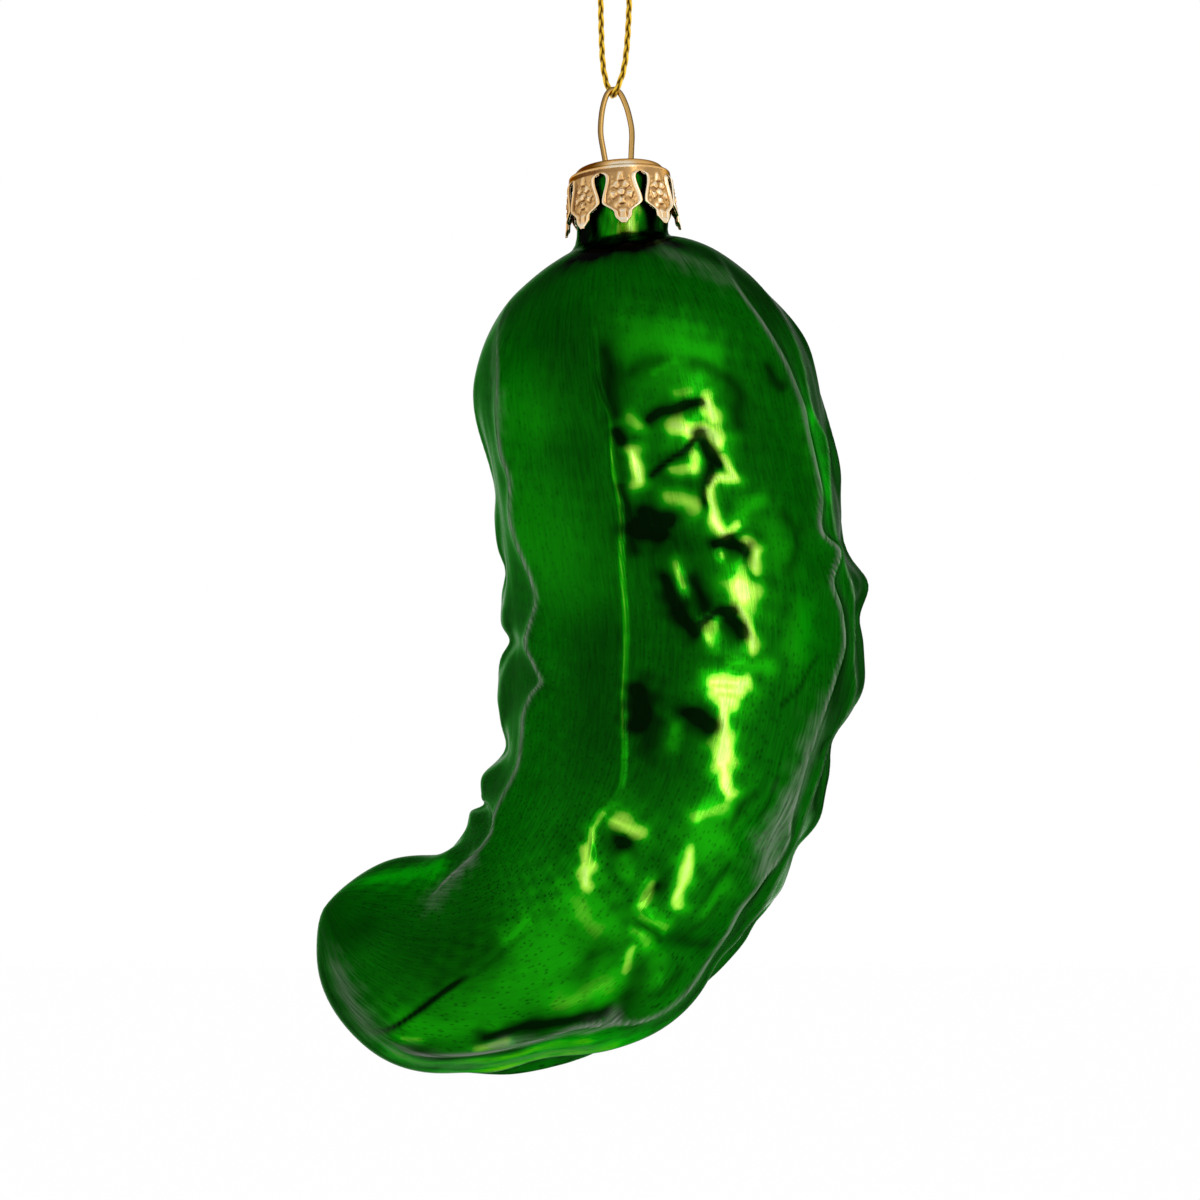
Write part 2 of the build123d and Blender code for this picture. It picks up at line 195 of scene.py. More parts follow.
# Strokes of painted highlight, light green to yellow: a start and an end, each as a
# place along the spine and an angle from the front, then the half width in mm and the strength
LIGHT_STROKES = [
    (-3.5, 7, 0.2, 7, 0.9, 1.0),
    (-3.5, -14, 0.2, -14, 1.1, 0.45),
    (14.5, -2, 15.8, 12, 1.8, 0.36),
    (15.6, 10, 17.6, 21, 1.3, 0.34),
    (18.5, 6, 19.5, 14, 3.0, 0.26),
    (18.4, 1.5, 17.6, 8, 0.45, 0.42),
    (21.4, 6, 21.3, 12, 0.6, 0.52),
    (22.5, 16.5, 24.8, 17, 0.8, 1.05),
    (24.4, 5.5, 25.8, 10, 0.95, 1.0),
    (25.7, 14, 27.2, 18.4, 0.75, 1.05),
    (29.6, 2.5, 29.4, 8.5, 0.42, 0.75),
    (28.4, 9.4, 29.5, 8.8, 0.55, 0.85),
    (32.3, -1.5, 32.6, 3.5, 0.55, 0.75),
    (32.8, 3, 34.0, 6.5, 0.75, 0.8),
    (27.0, -8.8, 30.0, -9.2, 0.62, 1.0),
    (22.8, -8.8, 24.2, -6.8, 0.75, 0.6),
    (28.8, 18.8, 31.6, 20.8, 0.5, 1.0),
    (31.0, 15, 31.7, 20, 0.5, 1.0),
    (31.0, 15, 33.3, 12, 0.5, 1.05),
    (33.3, 12, 35.6, 11.7, 0.5, 1.05),
    (35.6, 11.7, 37.2, 15, 0.5, 1.05),
    (37.2, 15, 36.6, 18.5, 0.45, 0.95),
    (36.4, 19, 34.5, 27, 0.8, 0.42),
    (39.6, 12.5, 39.8, 12.6, 0.5, 0.6),
    (38.6, 20.5, 39.8, 24.4, 0.45, 0.95),
    (39.8, 24.4, 41.6, 23, 0.6, 1.05),
    (39.8, -1.3, 42.4, -1.2, 0.5, 0.62),
    (42.9, 17, 44.2, 18.8, 1.15, 1.05),
    (45.0, 16.5, 47.6, 19, 0.6, 1.0),
    (47.6, 19, 49.0, 19.8, 0.55, 1.05),
    (46.8, 6.8, 48.2, 6.5, 0.75, 0.75),
    (50.7, 13, 50.9, 25, 0.7, 0.42),
    (52.6, 8, 52.7, 18.5, 0.75, 1.0),
    (53.6, 10, 53.6, 16, 0.8, 1.05),
    (54.6, 11.6, 54.8, 15, 0.7, 1.0),
    (54.4, 12.5, 58.0, 13.5, 0.65, 1.05),
    (58.0, 13.5, 61.0, 16.5, 0.85, 1.1),
    (61.0, 16.5, 63.6, 22.5, 0.6, 1.05),
    (58.4, -1.5, 60.0, -2.5, 0.55, 0.42),
    (70.4, -10, 70.9, -2.5, 0.85, 0.9),
    (70.4, -15, 72.8, -18, 0.35, 0.6),
    (72.8, -18, 75.8, -15, 0.35, 0.65),
    (75.8, -15, 77.4, -11, 0.5, 0.9),
    (77.4, -11, 79.0, -8.2, 0.75, 1.0),
    (80.0, -9, 81.5, -4, 1.2, 0.42),
    (66.8, 14, 64.8, 22, 0.9, 0.56),
    (68.0, 18, 68.4, 23, 1.8, 0.36),
    (70.3, 17, 74.8, 23.5, 0.52, 1.0),
    (74.8, 23.5, 75.6, 26, 0.6, 0.9),
    (75.3, 11, 77.4, 14, 0.6, 0.65),
    (74.2, -2, 75.4, 3, 0.8, 0.36),
    (78.2, 16, 78.3, 26, 0.75, 0.48),
    (80.3, 17, 80.4, 26, 0.8, 0.48),
    (81.8, 22.5, 83.6, 27, 0.55, 0.68),
    (81.5, -6, 82.6, 7, 1.9, 0.48),
    (87.0, 2, 93.0, 8, 3.6, 0.34),
    (92.0, 6, 97.0, 14, 3.4, 0.30),
    (85.6, 26, 89.5, 23, 2.2, 0.46),
    (91.8, -12.5, 88.3, -13.5, 0.9, 0.38),
    (103.5, 27, 95.0, 26, 1.5, 0.36),
    (97.5, 38, 95.2, 37, 0.6, 0.7),
    (104.0, 36, 102.4, 34, 0.6, 0.5),
    (99.0, 49, 90.0, 52, 1.7, 0.62),
    (97.0, 60, 88.0, 60, 1.5, 0.55),
    (100.0, 67, 88.0, 69, 1.6, 0.6),
    (104.0, 51, 99.5, 49, 1.1, 0.5),
    (113.0, -62, 103.5, -60, 1.2, 0.42),
    (19.5, -47, 20.5, -44, 3.5, 0.12),
    (32.0, -50, 37.0, -40, 4.5, 0.12),
    (46.5, 38, 49.0, 36, 1.4, 0.22),
    (38.0, 31, 40.6, 32, 1.6, 0.24),
    (72.0, 38, 75.0, 36, 0.7, 0.22),
    (81.0, 34, 83.0, 38, 0.8, 0.26),
    (26.0, 58, 34.0, 59, 1.2, 0.26),
]

# Strokes of painted shade, dark to near black, in the same form
DARK_STROKES = [
    (-4.5, -55, -0.5, -55, 2.2, 1.0),
    (-4.5, 38, -0.5, 38, 1.4, 0.9),
    (-4.5, 75, -0.5, 75, 1.4, 0.8),
    (2.6, -34, 2.6, 30, 1.2, 1.0),
    (15.0, -13, 22.0, -13, 1.1, 0.75),
    (18.7, -10, 17.0, 4, 0.6, 0.5),
    (18.3, 14, 20.2, 24.5, 0.7, 0.55),
    (20.2, 24.5, 22.8, 28, 0.75, 0.65),
    (22.8, 28, 25.2, 26.5, 0.75, 0.6),
    (23.7, -2.5, 22.4, 9, 0.58, 1.0),
    (22.4, 9, 22.3, 14.5, 0.52, 1.0),
    (24.2, -13.5, 25.6, -11.5, 0.7, 0.95),
    (26.4, 13, 29.4, 16.5, 0.85, 1.0),
    (29.5, 14, 31.5, 12.5, 0.75, 0.9),
    (31.5, 11.5, 34.0, 9.3, 0.5, 0.85),
    (26.6, 12, 28.6, 1.7, 0.42, 0.95),
    (28.6, 1.7, 29.6, -5, 0.5, 0.9),
    (26.0, -13.2, 30.0, -13.2, 0.7, 0.5),
    (30.0, -14, 33.0, -13.5, 0.6, 0.8),
    (34.0, -9, 34.9, -1, 1.2, 1.0),
    (34.8, -13, 36.0, -6, 1.4, 1.0),
    (35.6, -12, 37.6, -3, 2.4, 0.42),
    (33.0, -14, 37.4, -13.5, 0.8, 0.8),
    (38.3, 11.5, 38.0, 16, 0.75, 1.0),
    (38.3, 15, 39.7, 20.3, 0.75, 1.0),
    (41.0, -6.5, 45.0, -3.2, 0.9, 0.9),
    (45.0, -3.2, 47.3, 2, 1.2, 0.95),
    (42.0, 3, 44.8, 5, 1.2, 0.85),
    (46.5, 4, 45.2, 8.5, 0.6, 0.95),
    (45.3, 10, 45.6, 14, 0.8, 1.0),
    (46.2, 12.5, 47.5, 16, 0.95, 1.0),
    (55.0, -15, 58.6, -13, 1.9, 0.95),
    (55.5, -13, 60.5, -6, 3.2, 0.42),
    (56.4, -6, 57.6, 7, 2.6, 0.36),
    (58.0, -11, 61.0, -8.5, 1.5, 0.75),
    (56.5, 1.5, 57.2, 8, 1.1, 1.0),
    (73.0, -6, 73.1, -5, 1.1, 1.0),
    (75.2, 13.5, 75.4, 13.6, 0.8, 0.85),
    (79.2, 16, 79.3, 29, 0.35, 0.65),
    (83.5, 11, 86.5, 18, 1.3, 0.5),
    (83.0, 32, 86.0, 42, 1.2, 0.65),
    (78.6, 30, 77.6, 48, 0.7, 0.55),
    (97.0, 32, 91.0, 30, 0.9, 0.9),
    (91.0, 30, 86.8, 37, 0.9, 0.9),
    (100.5, 2, 94.0, -8, 1.8, 0.55),
    (101.5, -6, 97.0, -13, 3.0, 0.4),
    (103.0, 43, 95.0, 44, 0.9, 0.7),
    (111.5, -12, 113.0, 8, 1.6, 0.4),
    (19.8, 41, 22.0, 46, 0.5, 0.7),
    (14.0, -32, 16.5, -33, 3.0, 0.35),
    (24.5, -33, 25.0, -30, 2.2, 0.3),
    (49.0, -31, 62.0, -29, 4.0, 0.45),
    (50.0, 45, 54.5, 33, 0.22, 0.6),
    (36.0, 36, 38.2, 41, 0.5, 0.5),
    (38.2, 41, 40.2, 41, 0.5, 0.55),
    (40.2, 41, 42.2, 35, 0.5, 0.5),
    (63.0, 30, 66.5, 27, 0.35, 0.45),
    (61.0, 38, 64.5, 36, 0.3, 0.5),
    (70.5, 34, 74.0, 33, 0.3, 0.45),
    (73.5, 40, 77.0, 37, 0.3, 0.5),
    (81.0, 47, 84.0, 40, 0.4, 0.5),
]

# Strokes of painted grey sheen, in the same form
WORN_STROKES = [
    (8.0, -66, 20.0, -59, 0.9, 0.35),
    (93.0, -58, 99.0, -50, 0.8, 0.5),
    (99.0, -50, 103.0, -38, 1.2, 0.25),
    (4.0, 22, 8.0, 42, 1.3, 0.45),
    (56.0, 51, 66.0, 46, 1.4, 0.6),
    (66.0, 46, 68.5, 49, 1.0, 0.45),
    (86.6, 42, 96.5, 38, 0.55, 0.7),
    (104.5, 48, 99.0, 56, 1.2, 0.6),
    (99.0, 58, 90.0, 62, 0.9, 0.5),
    (112.0, 30, 107.0, 46, 1.4, 0.45),
]

# Lines on the skin, each point as a place along the spine in mm and an angle from the front in degrees
LEFT_RIDGE = [
    (2, -86), (8, -70), (12, -61), (16, -58), (20, -59), (23.8, -59), (27, -56), (30.5, -58.5),
    (33.5, -58), (38.9, -52), (41.8, -52), (46, -57), (49.2, -59.5), (53, -54), (55.3, -51),
    (58, -56), (62, -60), (66, -59), (70.8, -58), (78.8, -62), (85.3, -59), (90, -58), (95, -56),
    (100, -49), (105, -34),
]
RIGHT_RIDGE = [
    (2, 70), (6, 50), (10, 43), (15, 45.5), (20, 50), (24.5, 53), (30, 54.5), (34.5, 54),
    (38.7, 50.5), (41.2, 58), (43.7, 52), (46.2, 56.5), (48.8, 58), (51.5, 54), (54.6, 50),
    (58, 48), (60, 47), (64, 49), (66, 53), (68, 53), (70, 50), (73, 49), (76, 53), (79, 56),
    (82, 54), (85, 50), (87, 43), (89.5, 36.5), (92, 38), (95, 40), (100, 42), (106, 46),
]
OUTER_RIDGE = [
    (2, 84), (7.6, 72), (11.1, 66), (15, 63), (18, 62.5), (22, 60.5), (25.3, 60), (28, 69),
    (31, 67), (34.5, 61.5), (38.7, 61), (41.5, 61.5), (44, 65.5), (47, 70), (50, 67.5), (53, 74),
    (56, 71), (60, 62), (65, 60), (70, 62), (74, 66), (82, 68), (92, 66), (100, 70),
]
SEAM = [
    (8, -20), (12.4, -17), (17.7, -17), (20.5, -16), (22.7, -14.5), (28.4, -16), (32.6, -16),
    (40.4, -19), (53.3, -20), (58.4, -19), (66.6, -14), (70, -17), (73, -18), (76, -13), (79, -10),
]
GROOVE = [
    (74, -20), (82, -19), (88, -14), (92, -9.5), (96, -3), (100, 6), (103, 20), (105.5, 38),
    (108, 55),
]

# Sharp ridges of the front: height and flank in mm, and the line that each follows
SHARP_RIDGES = [
    (1.15, 2.0, LEFT_RIDGE),
    (1.0, 1.8, RIGHT_RIDGE),
    (0.8, 1.6, OUTER_RIDGE),
    (0.9, 3.5, GROOVE),
]

# Domes at the shoulder and at the toe: the powers a and b of (1 - t^a)^b
SHOULDER_POWERS = (2.1, 0.48)
TOE_POWERS = (2, 0.5)

# Half the length over which the neck's axis eases into the spine, the length over which the round neck
# flattens, and the length over which the ornament rises below the neck
NECK_EASE = 2 * MM
NECK_FLATTEN = 8 * MM
ORNAMENT_RISE = 6 * MM

# Lengths over which a line on the skin comes in at its start and goes at its end
LINE_START = 5 * MM
LINE_END = 4 * MM

# All ridges: crest and valley as shares of the ridge height, and what the inside of the bend takes off
CREST_SHARE = 0.75
VALLEY_SHARE = 0.15
BEND_LOSS = 0.7

# Sharp ridges: the height that counts as a whole ridge in mm, and the softness of a crest over its flank
WHOLE_RIDGE = 1.5
SHARP_SOFT = 0.1

# Even ridges: flank and softness of the crest, how much the sway shifts round the body, and the angles at
# which they fade in from the front
EVEN_FLANK = 0.42
EVEN_SOFT = 0.5
SWAY_SHIFT = 5
LEFT_SIDE = 74 * DEGREE
LEFT_FADE = 14 * DEGREE
RIGHT_SIDE = 80 * DEGREE
RIGHT_FADE = 12 * DEGREE

# Groove: depth, half width and half width of the painted shade line in it, then half width of the painted
# grey sheen on a crest
GROOVE_DEPTH = 0.35 * MM
GROOVE_WIDTH = 0.5 * MM
GROOVE_STAIN = 0.65 * MM
RUBBED_WIDTH = 0.30 * MM

# Painted highlight along the middle of the seam and painted shade low in the groove, along the spine, and
# the lengths of their fades
SEAM_LIGHT = 0.55
SEAM_LIGHT_FROM = 18 * MM
SEAM_LIGHT_RISE = 8 * MM
SEAM_LIGHT_TO = 72 * MM
SEAM_LIGHT_FALL = 14 * MM
GROOVE_DARK_FROM = 94 * MM
GROOVE_DARK_RISE = 6 * MM

# What the back half repeats of the front: share of the warts, share of the painted highlight and shade, and
# how much lower.
# Strokes that start above the shoulder's end aren't repeated.
BACK_WARTS = 0.8
BACK_PAINT = 0.85
BACK_DROP = 6 * MM
SHOULDER_END_MM = 12

# Strokes: how far their lines waver, how much their widths swell and how much wider the halo is
WAVER = 0.24 * MM
SWELL = 0.32
HALO_REACH = 2.6

# Width factor and halo's share of the painted highlight, painted shade and painted sheen strokes
LIGHT_EDGE = (1.45, 0.15)
DARK_EDGE = (1.42, 0.16)
WORN_EDGE = (1.2, 0.0)

# Radius in mm at which an angle round the body is counted as a length, and length of the body in mm
# over which the pits deepen
GRAIN_RADIUS = 20
GRAIN_LENGTH = 115

# Grid of the glass: fine rows between two places of the spine, coarse ones elsewhere, and columns that
# gather at an angle near the front by a share
FINE_FROM = 14 * MM
FINE_TO = 108 * MM
FINE_STEP = 0.44 * MM
COARSE_STEP = 0.80 * MM
GATHER = 0.5
GATHER_AT = 4 * DEGREE

# Inside of the glass: it keeps one row in two of the neck's first rows and one in six of the others
NECK_ROWS = 24
NECK_SKIP = 2
BODY_SKIP = 6
LIP_ROWS = 7

# Grid of the cap's dome, its bead and a petal
DOME_ROWS = 44
BEAD_ROWS = 9
PETAL_ROWS = 66
PETAL_COLUMNS = 37

# Power of the flat dome, how much narrower a petal ends, and the power by which it does so
DOME_POWER = 10
TIP_CUT = 0.85
TIP_POWER = 2.2

# Ornament of a petal in mm: border, line and pitch of the beads, boss and ring of leaves. Then its height.
BORDER = 0.56
BEAD_LINE = 0.86
BEAD_PITCH = 0.58
BOSS_DEPTH = 3.0
BOSS_RADIUS = 0.48
LEAF_RING = 1.0
LEAF_REACH = 0.44
LEAF_COUNT = 5
STAMP_HEIGHT = 0.26 * MM

# Painted light and shade of a petal: plain level, painted highlight on its relief and on edges that face
# up.
# Painted dark reflection at the left of the rim: how strong, at which angle and how far round, in radians.
PETAL_TONE = 0.33
RELIEF_TONE = 0.50
EDGE_TONE = 1.6
RIM_BROWN = 0.5
RIM_BROWN_AT = -0.9
RIM_BROWN_SPREAD = 0.5

# Painted light and shade of the dome: plain and at its top. Painted dark reflection on its left side and
# painted highlight at its front edge, as above.
DOME_TONE = 0.62
TOP_TONE = 0.45
DOME_BROWN = 0.62
DOME_BROWN_AT = -1.1
DOME_BROWN_SPREAD = 0.8
GLEAM = 0.38
GLEAM_SPREAD = 0.34

# Grid of the wire, the strands and the knot
WIRE_STEPS = 700
WIRE_SIDES = 20
CORD_STEPS = 620
KNOT_STEPS = 240
STRANDS = 3
STRAND_SIDES = 12

# Braid: a strand's radius over the cord's width, how far it rises over how far it sways, and the
# directions in which it lies flat in the cord and in the knot
STRAND_SHARE = 0.255
BRAID_LIFT = 0.62
CORD_SIDE = np.array([1.0, 0.0, 0.0])
KNOT_SIDE = np.array([0.13, 0.97, 0.2])

# Knot: extent of the plain trefoil line, and a tail as side, depth and height over its foot, in mm
TREFOIL_SPAN = np.array([5.6, 3.2, 5.2])
TAIL_FOOT = 0.4
TAIL = [(0, 0, 0), (0.25, 0.1, 1.4), (0.75, -0.1, 2.8), (0.95, 0, 3.9)]

# Soft lights that reflections see: direction, cosines of the angles at its edge and core, strength
UMBRELLA = ((0.47, -0.67, 0.57), 0.90, 0.985, 0.5)
BACK_LIGHTS = [
    ((-0.52, 0.84, 0.15), 0.90, 0.975, 0.4),
    ((0.80, 0.58, 0.15), 0.92, 0.98, 0.9),
    ((-0.93, -0.30, 0.20), 0.93, 0.985, 0.3),
]

# Floor: how white the camera sees it, and its levels in reflections at the left and at the right
FLOOR_WHITE = 0.985
FLOOR_DIM = 0.85
FLOOR_BRIGHT = 1.3
FLOOR_POINTS = 9


def length(name, description, millimetres):
    """A length property whose default is given in millimetres."""
    return bpy.props.FloatProperty(
        name=name, description=description, default=millimetres * MM,
        unit="LENGTH", subtype="DISTANCE", precision=5,
    )


def angle(name, description, degrees):
    """An angle property whose default is given in degrees."""
    return bpy.props.FloatProperty(
        name=name, description=description, default=degrees * DEGREE,
        unit="ROTATION", subtype="ANGLE",
    )


def number(name, description, value):
    """A plain number property."""
    return bpy.props.FloatProperty(name=name, description=description, default=value, precision=3)


def count(name, description, value):
    """A whole number property."""
    return bpy.props.IntProperty(name=name, description=description, default=value, min=1)


def colour(name, description, red, green, blue):
    """A linear colour property."""
    return bpy.props.FloatVectorProperty(
        name=name, description=description, default=(red, green, blue),
        subtype="COLOR", size=3, min=0.0, max=1.0,
    )


class PickleGlassSizes(bpy.types.PropertyGroup):
    """Sizes of the blown glass shell."""

    neck_radius: length("Neck radius", "Outside radius of the glass neck", 5.5)
    neck_top: length("Neck top", "How far the lip stays below the cap's rim", 0.3)
    neck_length: length("Neck length", "From the cap's rim to the start of the spine", 7.35)
    neck_cove: length("Neck cove", "Radius of the round between neck and shoulder", 1.8)
    wall: length("Wall", "Thickness of the glass", 1.0)
    body_offset: length("Body offset", "Sideways step from the neck's axis to the spine", 0.46)
    body_length: length("Body length", "Length of the spine", 115.6)
    body_lean: angle("Body lean", "Lean of the straight part of the spine", 9.6)
    straight_run: length("Straight run", "Length of the spine before it bends", 40.8)
    wide_radius: length("Wide bend radius", "Radius of the first bend", 47.6)
    wide_angle: angle("Wide bend angle", "Turn of the first bend", 47.8)
    tight_radius: length("Tight bend radius", "Radius of the second bend", 21.6)
    shoulder_width: length("Shoulder width", "Width under the shoulder", 39.7)
    belly_width: length("Belly width", "Width at the belly", 41.6)
    belly_place: length("Belly place", "Place of the belly on the spine", 45.7)
    toe_width: length("Toe width", "Width that the toe tapers to", 25.4)
    depth_ratio: number("Depth ratio", "Depth front to back over width", 0.94)
    shoulder_dome: length("Shoulder dome", "Length of the dome at the shoulder", 20.9)
    toe_dome: length("Toe dome", "Length of the dome at the toe", 14.7)
    ridge_count: count("Ridges", "Number of ridges round the body", 9)
    ridge_height: length("Ridge height", "Height from valley to crest", 2.0)
    ridge_angle: angle("Ridge angle", "Angle of one ridge from the front", -20)
    wander: angle("Wander", "How far each ridge sways", 5.5)
    wander_length: length("Wander length", "Length of one sway", 16.0)
    wander_phase: angle("Wander phase", "Where the sway starts", 200)
    shoulder_fade: length("Shoulder fade", "Length over which ridges rise at the shoulder", 26)
    toe_fade: length("Toe fade", "Length over which ridges sink at the toe", 20)
    seam_height: length("Seam height", "Height of the mould seam", 0.42)
    seam_width: length("Seam width", "Width of the mould seam", 0.42)
    columns: count("Columns", "Grid columns round the body", 296)


class PickleCapSizes(bpy.types.PropertyGroup):
    """Sizes of the stamped crown cap."""

    drop: length("Drop", "From the wire's eye to the middle of the rim", 9.926)
    rim_radius: length("Rim radius", "Radius of the rim", 6.1)
    dome_radius: length("Dome radius", "Radius of the dome inside the bead", 5.5)
    dome_height: length("Dome height", "Height of the dome over the rim", 1.45)
    bead_height: length("Bead height", "Height of the rounded bead over the rim", 0.45)
    sheet: length("Sheet", "Thickness of the metal", 0.3)
    petals: count("Petals", "Number of petals", 8)
    petal_length: length("Petal length", "From the rim to a petal's tip", 6.7)
    petal_flare: length("Petal flare", "How far the tips stand out", 0.6)
    gap_start: length("Gap start", "Depth of the band that joins the petals", 0.55)
    gap_radius: length("Gap radius", "Radius of the arch between two petals", 0.7)
    gap_waist: length("Gap waist", "Width between two petals where they come closest", 0.2)
    gap_waist_depth: length("Gap waist depth", "Depth of that place", 4.0)
    tip_width: length("Tip width", "Width of a petal's tip", 2.1)
    tip_length: length("Tip length", "Length of a petal's tip", 1.3)
    hole_radius: length("Hole radius", "Radius of the holes for the wire", 0.52)
    hole_place: length("Hole place", "Distance of each hole from the axis", 1.53)


class PickleLineSizes(bpy.types.PropertyGroup):
    """Sizes of the wire, the cord and its knot."""

    wire_diameter: length("Wire diameter", "Diameter of the spring wire", 0.68)
    loop_top: length("Loop top", "Height of the loop's top over the eye", 0.74)
    cord_diameter: length("Cord diameter", "Width of the braided cord", 0.74)
    braid_length: length("Braid length", "Length in which a strand returns to its place", 4.9)
    knot_width: length("Knot width", "Width of the knot", 2.6)
    knot_height: length("Knot height", "Height of the knot", 2.9)


class PickleColours(bpy.types.PropertyGroup):
    """Colours of the finishes, as linear values."""

    lacquer: colour("Lacquer", "Deep green of the lacquer over the silvered glass", 0.0013, 0.105, 0.0010)
    # Painted highlight: light green halo, yellow green glint and pale yellow core
    light: colour("Light", "Lighter green where the lacquer is thinner", 0.008, 0.38, 0.002)
    glint: colour("Glint", "Yellow green where the lacquer is thinnest", 0.42, 0.88, 0.07)
    core: colour("Core", "Pale yellow in the middle of a glint", 0.56, 0.95, 0.18)
    # Painted grey sheen
    worn: colour("Worn", "Grey of the rubbed lacquer", 0.19, 0.21, 0.18)
    # Painted shade: near black
    pool: colour("Pool", "Near black where the lacquer has pooled", 0.0, 0.003, 0.0)
    pit: colour("Pit", "Dark green of the pits", 0.0003, 0.02, 0.0003)
    cap: colour("Cap", "Rosy gold of the cap", 0.92, 0.56, 0.22)
    # Painted shade of the cap's recesses and left side, and painted highlight on its lit edges
    cap_recess: colour("Cap recess", "Brown of the cap's stamped recesses", 0.16, 0.065, 0.02)
    cap_gleam: colour("Cap gleam", "White gold of the cap's lit edges", 1.0, 0.88, 0.66)
    wire: colour("Wire", "Brownish gold of the wire", 0.38, 0.23, 0.07)
    cord: colour("Cord", "Yellow gold of the cord", 0.95, 0.62, 0.05)
    # Painted shade between the cord's strands
    cord_gap: colour("Cord gap", "Brown between the cord's strands", 0.10, 0.04, 0.004)
    floor: colour("Floor", "Pale floor", 0.86, 0.86, 0.86)


class PickleStage(bpy.types.PropertyGroup):
    """Camera, floor and light."""

    camera_distance: length("Camera distance", "From the camera to the object's middle plane", 230)
    camera_side: length("Camera side", "Sideways place of the camera", -1.64)
    camera_height: length("Camera height", "Height of the camera", -85.2)
    focal_length: number("Focal length", "Focal length of the camera in mm", 57.5)
    sensor_width: number("Sensor width", "Width of the camera's sensor in mm", 36.0)
    floor_drop: length("Floor drop", "From the toe to the floor", 250)
    floor_reach: length("Floor reach", "Half the width of the floor", 900)
    floor_front: length("Floor front", "From the object to the floor's front edge", 400)
    key_power: number("Key power", "Power of the tall softbox at the right, in watts", 0.27)
    key_turn: angle("Key turn", "Angle of the softbox from the camera towards the right", 33)
    key_rise: angle("Key rise", "Height angle of the softbox", 0)
    key_distance: length("Key distance", "Distance of the softbox", 500)
    key_width: length("Key width", "Width of the softbox", 72)
    key_height: length("Key height", "Height of the softbox", 590)


def sizes_of(name):
    """One of the scene's property groups."""
    return getattr(bpy.context.scene, name)


def ease(t):
    """Smooth step from 0 to 1, flat at both ends: t*t*(3-2t)."""
    t = np.clip(t, 0.0, 1.0)
    return t * t * (3 - 2 * t)


def unit(vectors):
    """Vectors scaled to length one."""
    return vectors / np.linalg.norm(vectors, axis=-1, keepdims=True)


def grid_faces(rows, columns, closed):
    """Quads of a grid, with the last column joined to the first where it is closed."""
    index = np.arange(rows * columns).reshape(rows, columns)
    right = np.roll(index, -1, axis=1)
    if not closed:
        index, right = index[:, :-1], right[:, :-1]
    return np.stack([index[:-1], index[1:], right[1:], right[:-1]], axis=-1).reshape(-1, 4)


def closed_grid(points):
    """Mesh of a grid closed round its columns and drawn to a point before its first and after its last row.

    The first and the last row of points hold one place each, so every seam and pole is closed.
    """
    rows, columns = points.shape[:2]
    body = points[1:-1].reshape(-1, 3)
    quads = grid_faces(rows - 2, columns, True)
    first_ring = np.arange(columns)
    last_ring = first_ring + (rows - 3) * columns
    first_pole = np.full(columns, len(body))
    last_pole = first_pole + 1
    start = np.stack([first_pole, first_ring, np.roll(first_ring, -1)], axis=-1)
    end = np.stack([last_pole, np.roll(last_ring, -1), last_ring], axis=-1)
    vertices = np.concatenate([body, points[:1, 0], points[-1:, 0]])
    return vertices, quads, np.concatenate([start, end])


def outward(vertices, quads, triangles):
    """The faces turned so that the enclosed volume is positive."""
    corners = np.concatenate([quads[:, [0, 1, 2]], quads[:, [0, 2, 3]], triangles])
    a, b, c = (vertices[corners[:, i]] for i in range(3))
    volume = np.einsum("ij,ij->", a - vertices.mean(axis=0), np.cross(b - a, c - a))
    return (quads, triangles) if volume > 0 else (quads[:, ::-1], triangles[:, ::-1])


def make_piece(name, vertices, quads, triangles, material, body, node, slot):
    """A smooth shaded mesh piece that rides on a body and stands for a CAD node."""
    mesh = bpy.data.meshes.new(name)
    mesh.from_pydata(vertices.tolist(), [], quads.tolist() + triangles.tolist())
    mesh.polygons.foreach_set("use_smooth", np.ones(len(mesh.polygons), bool))
    mesh.update()
    mesh.materials.append(material)
    piece = bpy.data.objects.new(name, mesh)
    bpy.context.scene.collection.objects.link(piece)
    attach(piece, body)
    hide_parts(node)
    return piece


def add_value(piece, name, values):
    """One number for each vertex, kept as an attribute."""
    attribute = piece.data.attributes.new(name, "FLOAT", "POINT")
    attribute.data.foreach_set("value", np.asarray(values, np.float32).ravel())


def add_vector(piece, name, values):
    """One vector for each vertex, kept as an attribute."""
    attribute = piece.data.attributes.new(name, "FLOAT_VECTOR", "POINT")
    attribute.data.foreach_set("vector", np.asarray(values, np.float32).ravel())


def nurbs_line(points, resolution):
    """Points along the smooth NURBS spline that has these control points."""
    route = bpy.data.curves.new("route", "CURVE")
    route.dimensions = "3D"
    spline = route.splines.new("NURBS")
    spline.points.add(len(points) - 1)
    spline.points.foreach_set("co", np.column_stack([points, np.ones(len(points))]).ravel())
    spline.order_u = 3
    spline.use_endpoint_u = True
    route.resolution_u = resolution
    carrier = bpy.data.objects.new("route", route)
    line = bpy.data.meshes.new_from_object(carrier)
    co = np.zeros(len(line.vertices) * 3)
    line.vertices.foreach_get("co", co)
    bpy.data.objects.remove(carrier)
    bpy.data.curves.remove(route)
    bpy.data.meshes.remove(line)
    return co.reshape(-1, 3)


def spaced(line, steps):
    """The line with its points spread evenly along it."""
    along = np.concatenate([[0], np.cumsum(np.linalg.norm(np.diff(line, axis=0), axis=1))])
    places = np.linspace(0, along[-1], steps)
    return np.stack([np.interp(places, along, line[:, i]) for i in range(3)], axis=-1), places


